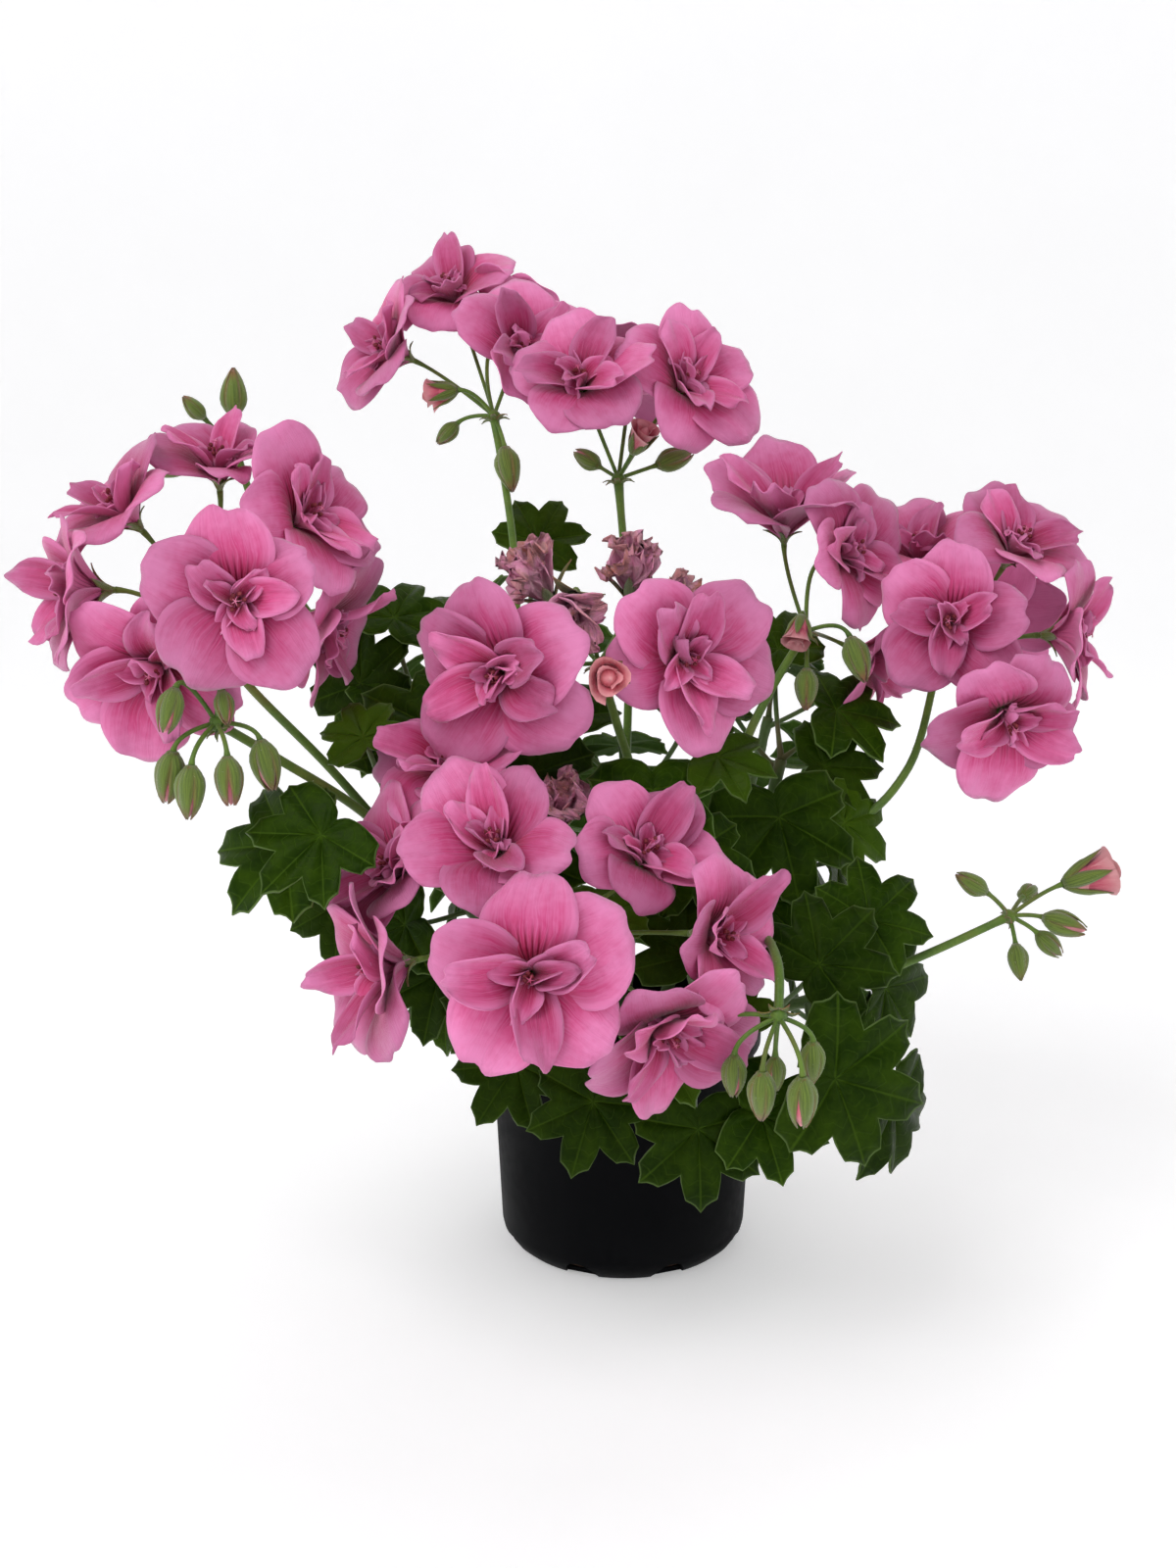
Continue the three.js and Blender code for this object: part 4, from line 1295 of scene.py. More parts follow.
class Finishes:
    """Every finish of the plant and its pot, built once."""

    def __init__(self) -> None:
        """Builds the materials."""
        shared = Shared(striae_group(), mottle_group())
        self.petal = PetalFinish(
            "petal_face",
            throat_and_shade=(0.44, 0.006, 0.06),
            middle=(0.56, 0.042, 0.18),
            edge=PETAL_EDGE,
            vein=PETAL_VEIN,
        ).build(shared)
        self.petal_back = PetalFinish(
            "petal_back",
            throat_and_shade=(0.51, 0.045, 0.15),
            middle=(0.59, 0.1, 0.27),
            edge=PETAL_EDGE,
            vein=PETAL_VEIN,
            back=0.3,
        ).build(shared)
        self.rosy = PetalFinish(
            "rosebud_petal",
            throat_and_shade=(0.5, 0.03, 0.09),
            middle=(0.66, 0.09, 0.16),
            edge=(0.84, 0.4, 0.42),
            vein=PETAL_VEIN,
        ).build(shared)
        self.faded = FadedFinish(
            "withered_petal", fresh=(0.72, 0.23, 0.42), dull=(0.74, 0.44, 0.52), brown=(0.42, 0.12, 0.07)
        ).build(shared)
        self.leaf = LeafFinish(
            "leaf_face",
            deep=(0.0075, 0.023, 0.0007),
            light=(0.023, 0.052, 0.0015),
            rib=(0.05, 0.1, 0.007),
            margin=(0.12, 0.19, 0.055),
            young=(0.07, 0.135, 0.006),
            roughness=0.42,
        ).build(shared)
        self.leaf_back = LeafFinish(
            "leaf_back",
            deep=(0.032, 0.075, 0.008),
            light=(0.05, 0.108, 0.013),
            rib=(0.1, 0.18, 0.035),
            margin=(0.16, 0.26, 0.09),
            young=(0.1, 0.19, 0.03),
            roughness=0.55,
        ).build(shared)
        self.stalk = StalkFinish(
            "stalk_skin",
            green=(0.06, 0.13, 0.012),
            pale=(0.12, 0.21, 0.02),
            blush=(0.17, 0.1, 0.03),
            blushed=0.3,
        ).build(shared)
        self.stem = StalkFinish(
            "stem_skin",
            green=(0.06, 0.12, 0.025),
            pale=(0.09, 0.15, 0.04),
            blush=(0.13, 0.06, 0.03),
            blushed=0.6,
        ).build(shared)
        self.sepal = SepalFinish(
            "sepal", green=(0.06, 0.11, 0.01), pale=(0.17, 0.24, 0.03), blush=(0.3, 0.09, 0.05)
        ).build(shared)
        self.plastic = PlasticFinish(
            "black_plastic", black=(0.0007, 0.0009, 0.0015), dust=(0.012, 0.012, 0.012)
        ).build(shared)
        self.soil = SoilFinish(
            "peat", peat=(0.012, 0.006, 0.003), crumb=(0.04, 0.02, 0.011), fibre=(0.1, 0.055, 0.03)
        ).build(shared)
        self.anther = TinyFinish("anther", dark=(0.1, 0.012, 0.02), light=(0.25, 0.04, 0.05)).build(shared)
        self.thread = TinyFinish(
            "filament", dark=(0.45, 0.03, 0.12), light=(0.75, 0.25, 0.4), roughness=0.5
        ).build(shared)
        self.hair = TinyFinish("hair", dark=(0.3, 0.36, 0.22), light=(0.6, 0.66, 0.5)).build(shared)


# Petals and blooms.


@dataclass(frozen=True)
class PetalForm:
    """The cut and curl of one kind of petal, as shares of its length unless another unit is given."""

    width: float
    claw: float  # width of the foot as a share of the full width
    widest: float
    fallback: float  # how far the corners of the end fall back
    hollow: float  # how far the sides rise over the middle line
    ruffle: float
    waves: float  # ruffles across
    roll: float  # how far the blade turns about its own middle line, in radians
    sway: float  # how far the blade leans to one side, in radians
    reflex: float  # how far the end turns back


FORMS = {
    PetalKind.OUTER: PetalForm(0.93, 0.12, 0.68, 0.15, 0.03, 0.032, 0.62, 0.2, 0.14, 0.12),
    PetalKind.MIDDLE: PetalForm(0.6, 0.14, 0.68, 0.15, 0.15, 0.055, 0.7, 0.45, 0.3, 0.06),
    PetalKind.SMALL: PetalForm(0.42, 0.2, 0.66, 0.15, 0.16, 0.06, 0.8, 0.9, 0.4, 0.05),
    PetalKind.CURLED: PetalForm(0.46, 0.26, 0.62, 0.14, 0.34, 0.07, 0.9, 1.4, 0.5, -0.12),
}

Spine = Callable[[Points], tuple[Points, Points]]


def arched_spine(length: float, reach: float, cup: float, lift: float, foot: float = -4.5) -> Spine:
    """The middle line of a broad petal, which rises from the throat and then spreads.

    Args:
        length: the petal's length.
        reach: a stretch of the outer part, near 1.
        cup: the height of its tip as a share of its length.
        lift: an extra rise of the tip, as a share of its length.
        foot: the height of its foot.

    Returns:
        A function from the share along the petal to its distance from the axis and its height.
    """

    def spine(t: Points) -> tuple[Points, Points]:
        """The distance from the axis and the height at t."""
        r = 2 * t * (1 - t) * 0.26 * length + t**2 * 0.98 * length * reach
        h = (1 - t) ** 2 * foot + 2 * t * (1 - t) * 0.36 * length + t**2 * (cup + lift) * length
        return r, h

    return spine


def curling_spine(length: float, lean: float, curl: float, root: float = 0.5, foot: float = 0.5) -> Spine:
    """The middle line of a small petal or a sepal, which leans out from the axis and curls over at its end.

    Args:
        length: its length.
        lean: how far its foot leans out, in radians.
        curl: how much further its tip leans, in radians.
        root: the distance of its foot from the axis.
        foot: the height of its foot.

    Returns:
        A function from the share along it to its distance from the axis and its height.
    """

    def spine(t: Points) -> tuple[Points, Points]:
        """The distance from the axis and the height at t."""
        angle = lean + curl * t
        return root + length * t * np.sin(angle), foot + length * t * np.cos(angle)

    return spine


def petal_outline(form: PetalForm, v: Points) -> Points:
    """The width of a petal along its length.

    Args:
        form: the petal's cut.
        v: shares of its length.

    Returns:
        Shares of the full width.
    """
    rising = np.sin(0.5 * math.pi * np.clip(v / form.widest, 0, 1)) ** 1.2
    falling = 1 - 0.24 * (np.clip(v - form.widest, 0, 1) / (1 - form.widest)) ** 2.2
    return (form.claw + (1 - form.claw) * rising) * falling


def petal_points(
    grid: Grid, form: PetalForm, spine: Spine, turn: float, length: float, seed: float, lap: float = 0.0
) -> tuple[Points, Points, Points]:
    """One petal in its bloom's own axes.

    Args:
        grid: the flat grid that is bent.
        form: the cut and curl.
        spine: its middle line.
        turn: the angle round the bloom, in radians.
        length: its length.
        seed: a number that makes it differ from its neighbours.
        lap: how far one side rises over the next petal, as a share of the length.

    Returns:
        The x, y and z of each corner.
    """
    u, v = grid.u, grid.v
    # The end falls back at its corners and has a shallow nick and a fine frill.
    dent = np.exp(-(((u - 0.3 * wobble(seed + 0.27)) / 0.25) ** 2))
    nick = 0.03 * (1 + wobble(seed + 0.21)) * dent * v**8
    coarse = 0.014 * np.sin(4.5 * u + 6 * wobble(seed + 0.33))
    frill = v**4 * (coarse + 0.006 * np.sin(9 * u + 5 * wobble(seed)))
    along = v - form.fallback * v**2 * u**2 - nick + frill
    r, h = spine(along)
    ahead_r, ahead_h = spine(along + 0.01)
    tangent = np.stack([ahead_r - r, ahead_h - h])
    tangent /= np.linalg.norm(tangent, axis=0)
    half = 0.5 * form.width * length * (1 + 0.1 * wobble(seed + 0.41))
    side = u * petal_outline(form, v) * half
    # The margin is ruffled and the middle stays calm.
    phase = math.pi * wobble(seed + 0.57)
    margin = 1 - (1 - u**2) * (1 - v**4)
    round_margin = 1.2 * u + 1.5 * np.sign(u) * (1 - v) * u**2
    ruffle = margin * np.sin(2 * math.pi * form.waves * round_margin + phase)
    ruffle = ruffle + 0.5 * np.sin(math.pi * form.waves * u - 2 * phase + 1.4 * v)
    # The sides rise to a hollow, one side laps over the next petal, and the end turns back.
    rise = form.hollow * length * u**2 * np.sin(math.pi * np.clip(v * 0.9, 0, 1))
    ruffled = form.ruffle * (1 + 0.4 * wobble(seed + 0.47)) * length * v**1.3 * ruffle
    rise = rise + ruffled + lap * length * u * v
    rise = rise - form.reflex * length * v**4 * (1 + wobble(seed + 0.63))
    # The blade rolls about its middle line and sways to one side.
    roll = form.roll * v * wobble(seed + 0.71)
    swing = np.sin(roll) * side + np.cos(roll) * rise
    side = np.cos(roll) * side - np.sin(roll) * rise
    out = r - tangent[1] * swing
    up = h + tangent[0] * swing
    heading = turn + form.sway * v**2 * wobble(seed + 0.77)
    c, s = np.cos(heading), np.sin(heading)
    return c * out + s * side, s * out - c * side, up


@dataclass
class PetalKit:
    """The flat grids that blades are bent from, and the round bodies of anthers, buds and knuckles."""

    broad: Grid
    middle: Grid
    narrow: Grid
    sepal: Grid
    leaf: Grid
    anther: bpy.types.Object
    bud: bpy.types.Object
    knuckle: bpy.types.Object

    @classmethod
    def model(cls) -> PetalKit:
        """Models the grids and the small round bodies.
        """
        rounds = []
        for name, segments, rings in (("anther", 8, 6), ("bud_body", 14, 12), ("knuckle_body", 12, 8)):
            select()
            bpy.ops.mesh.primitive_uv_sphere_add(segments=segments, ring_count=rings, radius=1.0)
            body = bpy.context.object
            body.name = name
            rounds.append(body)
        return cls(
            Grid("broad_petal", 16, 14),
            Grid("middle_petal", 12, 12),
            Grid("narrow_petal", 8, 10),
            Grid("flat_sepal", 6, 8),
            Grid("flat_leaf", 72, 8),
            *rounds,
        )

    def grid_of(self, kind: PetalKind) -> Grid:
        """The grid that a kind of petal is bent from."""
        return {PetalKind.OUTER: self.broad, PetalKind.MIDDLE: self.middle}.get(kind, self.narrow)

    def remove(self) -> None:
        """Takes the templates away once their copies are made."""
        for grid in (self.broad, self.middle, self.narrow, self.sepal, self.leaf):
            grid.remove()
        for body in (self.anther, self.bud, self.knuckle):
            bpy.data.objects.remove(body)


def rounded(
    source: bpy.types.Object, seat: Seat, girth: Numbers, length: float, at: float
) -> bpy.types.Object:
    """A copy of a round body, stretched along a seat's z axis.

    Args:
        source: the sphere of radius 1 that is copied.
        seat: where it stands.
        girth: its radii at even steps from its foot to its tip, in millimetres.
        length: its length.
        at: the height of its foot over the seat.

    Returns:
        The copy.
    """
    ball = corners(source)
    share = (ball[:, 2] + 1.0) / 2.0
    around = np.arctan2(ball[:, 1], ball[:, 0])
    on_axis = np.hypot(ball[:, 0], ball[:, 1]) < 1e-5
    r = np.where(on_axis, 0.0, np.interp(share, np.linspace(0, 1, len(girth)), girth))
    piece = copy_of(source)
    put_corners(piece, seat.place(r * np.cos(around), r * np.sin(around), at + share * length))
    return piece


def sepal_points(
    kit: PetalKit, turn: float, length: float, width: float, spine: Spine, wrap: float
) -> tuple[Points, Points, Points]:
    """A pointed sepal in its bloom's or bud's own axes.

    Args:
        kit: holds the flat grid.
        turn: its angle round the axis, in radians.
        length: its length, which scales the sway of its sides.
        width: its full width.
        spine: its middle line.
        wrap: how far its sides close round the axis, as a share of the width.

    Returns:
        The x, y and z of each corner.
    """
    u, v = kit.sepal.u, kit.sepal.v
    cut = np.sin(math.pi * np.clip(0.16 + 0.84 * v, 0, 1)) ** 0.8 * (1 - 0.35 * v) + 0.02
    r, h = spine(v)
    side = 0.5 * width * u * cut
    inward = wrap * width * (u * cut) ** 2
    c, s = math.cos(turn), math.sin(turn)
    out = r - inward
    return c * out - s * side, s * out + c * side, h + 0.02 * length * u**2


@dataclass(frozen=True)
class Whorl:
    """A ring of petals in a bloom, with lengths as shares of the petal length and angles in degrees."""

    kind: PetalKind
    count: int
    first: int  # the number that its first petal draws its own differences from
    start: float
    step: float
    astray: float  # how far a petal may stand from its even place
    length: float
    uneven: float  # how much longer or shorter a petal may be
    lap: float = 0.0
    draw: float = 0.0  # shifts the draw of a petal's place


# How deep in the bloom each kind of petal stands, from 0 outside to 1 at the throat, which darkens it as
# painted shade.
SHADE_DEPTHS = {PetalKind.OUTER: 0.12, PetalKind.MIDDLE: 0.42, PetalKind.SMALL: 0.6, PetalKind.CURLED: 0.2}


@dataclass
class Bloom:
    """One open semi-double bloom with its stamens."""

    name: str
    plan: Numbers
    seed: int
    throat_height: float = 8.0
    wall: float = 0.4
    fullness: float = 1.08
    anthers: int = 7
    anther_length: float = 2.1
    stigmas: int = 5
    node: str = "bloom"
    slot: str = "petal"
    petals_name: str = "petals"
    stamens_name: str = "stamens"

    @property
    def seat(self) -> Seat:
        """The calyx that the bloom sits on, facing the way that the bloom does."""
        x, y, z, azimuth, elevation = self.plan[:5]
        axis = aim(azimuth, elevation)
        return Seat.facing(np.array([x, y, z]) - self.throat_height * axis, axis)

    def whorls(self) -> tuple[Whorl, ...]:
        """The bloom's rings of petals, from the outside to the throat."""
        inner = 3 + (wobble(self.seed + 0.17) > 0.1)
        return (
            Whorl(PetalKind.OUTER, 5, 0, 90, 72, 12, 1.0, 0.09, lap=0.08, draw=0.2),
            Whorl(PetalKind.MIDDLE, inner, 20, 36, 360 / inner, 28, 0.76, 0.1, lap=0.04),
            Whorl(PetalKind.SMALL, 3, 10, 30, 120, 28, 0.5, 0.07),
            Whorl(PetalKind.CURLED, 2, 40, 75, 170, 50, 0.4, 0.06),
        )

    def spine(self, kind: PetalKind, length: float, k: int) -> Spine:
        """The middle line of one petal.

        Args:
            kind: its kind.
            length: its length.
            k: the number that it draws its own differences from.

        Returns:
            The line.
        """
        cup = self.plan[7]
        rise, over = wobble(k + 0.7), wobble(k + 0.9)
        if kind is PetalKind.OUTER:
            return arched_spine(length, 1.0, cup, 0.1 * rise)
        if kind is PetalKind.MIDDLE:
            return arched_spine(length, 0.88, cup + 0.46 + 0.2 * rise, 0.0, -2.0)
        if kind is PetalKind.SMALL:
            return curling_spine(length, 0.28 + 0.14 * rise, 0.4 + 0.22 * over)
        return curling_spine(length, 0.25 + 0.12 * rise, 0.7 + 0.35 * over)

    def petal(self, kit: PetalKit, whorl: Whorl, i: int) -> bpy.types.Object:
        """One petal in place, with its own tone, with feathered veins if it stands high in the bloom, and
        with painted shade as deep as it stands.

        Args:
            kit: holds the flat grids.
            whorl: the ring that it belongs to.
            i: its number in the ring.

        Returns:
            The petal.
        """
        length, turn = self.plan[5:7]
        k = self.seed * 31 + whorl.first + i
        own = length * self.fullness * (whorl.length + whorl.uneven * wobble(k + 0.3))
        angle = math.radians(turn + whorl.start + whorl.step * i + whorl.astray * wobble(k + whorl.draw))
        grid, spine = kit.grid_of(whorl.kind), self.spine(whorl.kind, own, k)
        x, y, z = petal_points(grid, FORMS[whorl.kind], spine, angle, own, k, whorl.lap)
        made = grid.bent(self.seat.place(x, y, z))
        upper = max(0.0, math.sin(angle)) if whorl.kind is PetalKind.OUTER else 0.25
        # Painted shade: the deeper a petal stands in the bloom, the more dark throat colour it keeps.
        depth = SHADE_DEPTHS[whorl.kind] + 0.16 * wobble(k + 0.91)
        give_traits(made, 0.5 + 0.5 * wobble(k + 0.83), 0.25 + 0.75 * upper, max(0.0, depth))
        return made

    def petals(self, kit: PetalKit) -> list[bpy.types.Object]:
        """The bloom's petals, from its outer whorl to the small ones at its throat."""
        return [self.petal(kit, whorl, i) for whorl in self.whorls() for i in range(whorl.count)]

    def stamens(self, kit: PetalKit) -> tuple[list[bpy.types.Object], bpy.types.Object]:
        """The dark anthers, and the threads that carry them with the style between them.

        Args:
            kit: holds the body of an anther.

        Returns:
            The anthers and the threads.
        """
        seat = self.seat
        anthers, runs = [], []
        for i in range(self.anthers):
            k = self.seed * 53 + i
            around = 2 * math.pi * i / self.anthers + 0.4 * wobble(k)
            height = 9.5 + 2.2 * wobble(k + 0.3)
            out = 1.9 + 0.9 * wobble(k + 0.6)
            r = np.array([0.6, 0.9, out])
            h = np.array([3.0, height * 0.8, height])
            foot, knee, tip = seat.place(r * math.cos(around), r * math.sin(around), h)
            runs.append((bow(foot, knee, tip, 5), np.full(5, 0.2)))
            own = Seat.facing(tip, unit(tip - knee + 0.6 * seat.x * wobble(k + 0.9)))
            anthers.append(rounded(kit.anther, own, (0.0, 0.62, 0.75, 0.62, 0.0), self.anther_length, -1.0))
        foot, top = seat.place(np.array([0.0, 0.2]), np.array([0.0, 0.1]), np.array([3.0, 11.5]))
        runs.append((np.linspace(foot, top, 4), np.full(4, 0.3)))
        for i in range(self.stigmas):
            a = 2 * math.pi * i / self.stigmas
            tip = top + 1.5 * (math.cos(a) * seat.x + math.sin(a) * seat.y) + 0.4 * seat.z
            runs.append((bow(top, top + 0.9 * seat.z, tip, 4), np.array([0.22, 0.2, 0.16, 0.08])))
        return anthers, tubes(f"threads_{self.name}", runs, 4)

    def skins(self, finishes: Finishes) -> tuple[tuple[bpy.types.Material, ...], bpy.types.Material]:
        """The finishes of the petals' faces and backs, and of the threads."""
        return (finishes.petal, finishes.petal_back), finishes.thread

    def build(self, kit: PetalKit, finishes: Finishes) -> None:
        """Makes the bloom and fixes it to the plant.

        Args:
            kit: holds what its petals and anthers are made from.
            finishes: holds its materials.
        """
        sides, thread = self.skins(finishes)
        petals = joined(self.petals(kit), f"{self.petals_name}_{self.name}")
        dress(petals, *sides)
        thicken(petals, self.wall, back=len(sides) - 1)
        shade(petals)
        finish_piece(petals, self.slot, f"{self.node}_{self.name}")
        anthers, threads = self.stamens(kit)
        for part in anthers:
            dress(part, finishes.anther)
        dress(threads, thread)
        stamens = joined([threads, *anthers], f"{self.stamens_name}_{self.name}")
        shade(stamens)
        finish_piece(stamens, self.slot)


@dataclass
class WitheredBloom(Bloom):
    """A bloom that has shrunk and dried on its pedicel."""

    wall: float = 0.45
    node: str = "withered"
    slot: str = "faded"
    petals_name: str = "withered_petals"
    stamens_name: str = "dry_stamens"

    def petals(self, kit: PetalKit) -> list[bpy.types.Object]:
        """Narrow creased petals, five outside and three shorter ones between them.

        Args:
            kit: holds the flat grids.

        Returns:
            The petals.
        """
        length = self.plan[5]
        u, v = kit.middle.u, kit.middle.v
        made = []
        for i in range(8):
            k = self.seed * 17 + i
            inner = i > 4
            turn = math.radians(72 * i + 20 * wobble(k) + (36 if inner else 0))
            own = length * ((0.8 if inner else 1.08) + 0.22 * wobble(k + 0.3))
            spine = curling_spine(own, 0.05 + 0.1 * inner, 0.34 + 0.42 * wobble(k + 0.7), 0.5, -3.0)
            form = PetalForm(0.6 + 0.12 * wobble(k + 0.5), 0.26, 0.62, 0.14, 0.3, 0.11, 1.5, 1.2, 0.6, -0.1)
            x, y, z = petal_points(kit.middle, form, spine, turn, own, k)
            crease = 1.1 * v * np.sin(11 * v + 7 * u + 3 * wobble(k + 0.9))
            part = kit.middle.bent(self.seat.place(x + crease * np.cos(turn), y + crease * np.sin(turn), z))
            give_traits(part, 0.5 + 0.5 * wobble(k + 0.83), 0.0, 0.7 + 0.3 * wobble(k + 0.11))
            made.append(part)
        return made

    def skins(self, finishes: Finishes) -> tuple[tuple[bpy.types.Material, ...], bpy.types.Material]:
        """The finishes of the dried petals and of the threads."""
        return (finishes.faded,), finishes.anther


# Stalks, calyxes and buds.

# The radius of a bud at stations along it, both as shares of its length.
BUD_STATIONS = (0.0, 0.1, 0.25, 0.4, 0.58, 0.76, 0.9, 1.0)
BUD_GIRTH = (0.07, 0.17, 0.265, 0.295, 0.265, 0.19, 0.1, 0.015)


@dataclass
class Bud:
    """A pointed bud: five sepals closed over the petals, or parted to show them."""

    foot: Points
    axis: Points
    length: float
    seed: int
    rosy: bool
    sepals: int = 5

    def radius(self, share: Points) -> Points:
        """The bud's radius along its length."""
        return np.interp(share, BUD_STATIONS, BUD_GIRTH) * self.length

    def sepal_spine(self, reach: float, splay: float) -> Spine:
        """The middle line of a sepal that lies over the bud.

        Args:
            reach: its length.
            splay: how far its tip stands away from the bud.

        Returns:
            The line.
        """

        def spine(t: Points) -> tuple[Points, Points]:
            """The distance from the axis and the height at t."""
            return self.radius(t * reach / self.length) + 0.15 + splay * t**3, t * reach

        return spine

    def parts(self, kit: PetalKit) -> tuple[list[bpy.types.Object], list[bpy.types.Object]]:
        """The bud's petals and its sepals.

        Args:
            kit: holds what they are made from.

        Returns:
            The petals and the sepals.
        """
        seat = Seat.facing(self.foot, self.axis, 40.0 * wobble(self.seed))
        girth = 0.86 * self.radius(np.linspace(0, 1, 9))
        inside = [rounded(kit.bud, seat, girth, 0.95 * self.length, 0.02 * self.length)]
        opened = 1.0 if self.rosy else 0.3 + 0.3 * wobble(self.seed + 0.4)
        if self.rosy:
            inside += [self.wrapped(kit, seat, i) for i in range(5)]
        for part in inside:
            give_traits(part, 0.5 + 0.4 * wobble(self.seed + 0.2))
        reach = self.length * (0.8 if self.rosy else 1.03 - 0.12 * opened)
        splay = self.length * (0.26 if self.rosy else 0.1 * opened)
        width = self.length * (0.43 - 0.13 * opened)
        sepals = []
        for i in range(self.sepals):
            turn = 2 * math.pi * i / self.sepals + 0.1 * wobble(self.seed + i)
            x, y, z = sepal_points(kit, turn, reach, width, self.sepal_spine(reach, splay), 0.36)
            part = kit.sepal.bent(seat.place(x, y, z))
            give_traits(part, 0.5 + 0.5 * wobble(self.seed + i + 0.6))
            sepals.append(part)
        return inside, sepals

    def wrapped(self, kit: PetalKit, seat: Seat, i: int) -> bpy.types.Object:
        """One petal of an opening bud, wrapped round the others.

        Args:
            kit: holds the flat grids.
            seat: the bud's foot.
            i: the petal's number, from the inside.

        Returns:
            The petal.
        """
        u, v = kit.narrow.u, kit.narrow.v
        around = 2.4 * i + u * (1.15 + 0.1 * i)
        r = self.length * (0.11 + 0.05 * i) * (0.7 + 0.6 * v) * (1 + 0.14 * u)
        r = r + 0.07 * self.length * v**4 * (1 + 0.6 * np.sin(4 * u + i))
        h = self.length * (0.3 + (0.72 - 0.03 * i) * (v - 0.12 * u**2 * v))
        return kit.narrow.bent(seat.place(r * np.cos(around), r * np.sin(around), h))


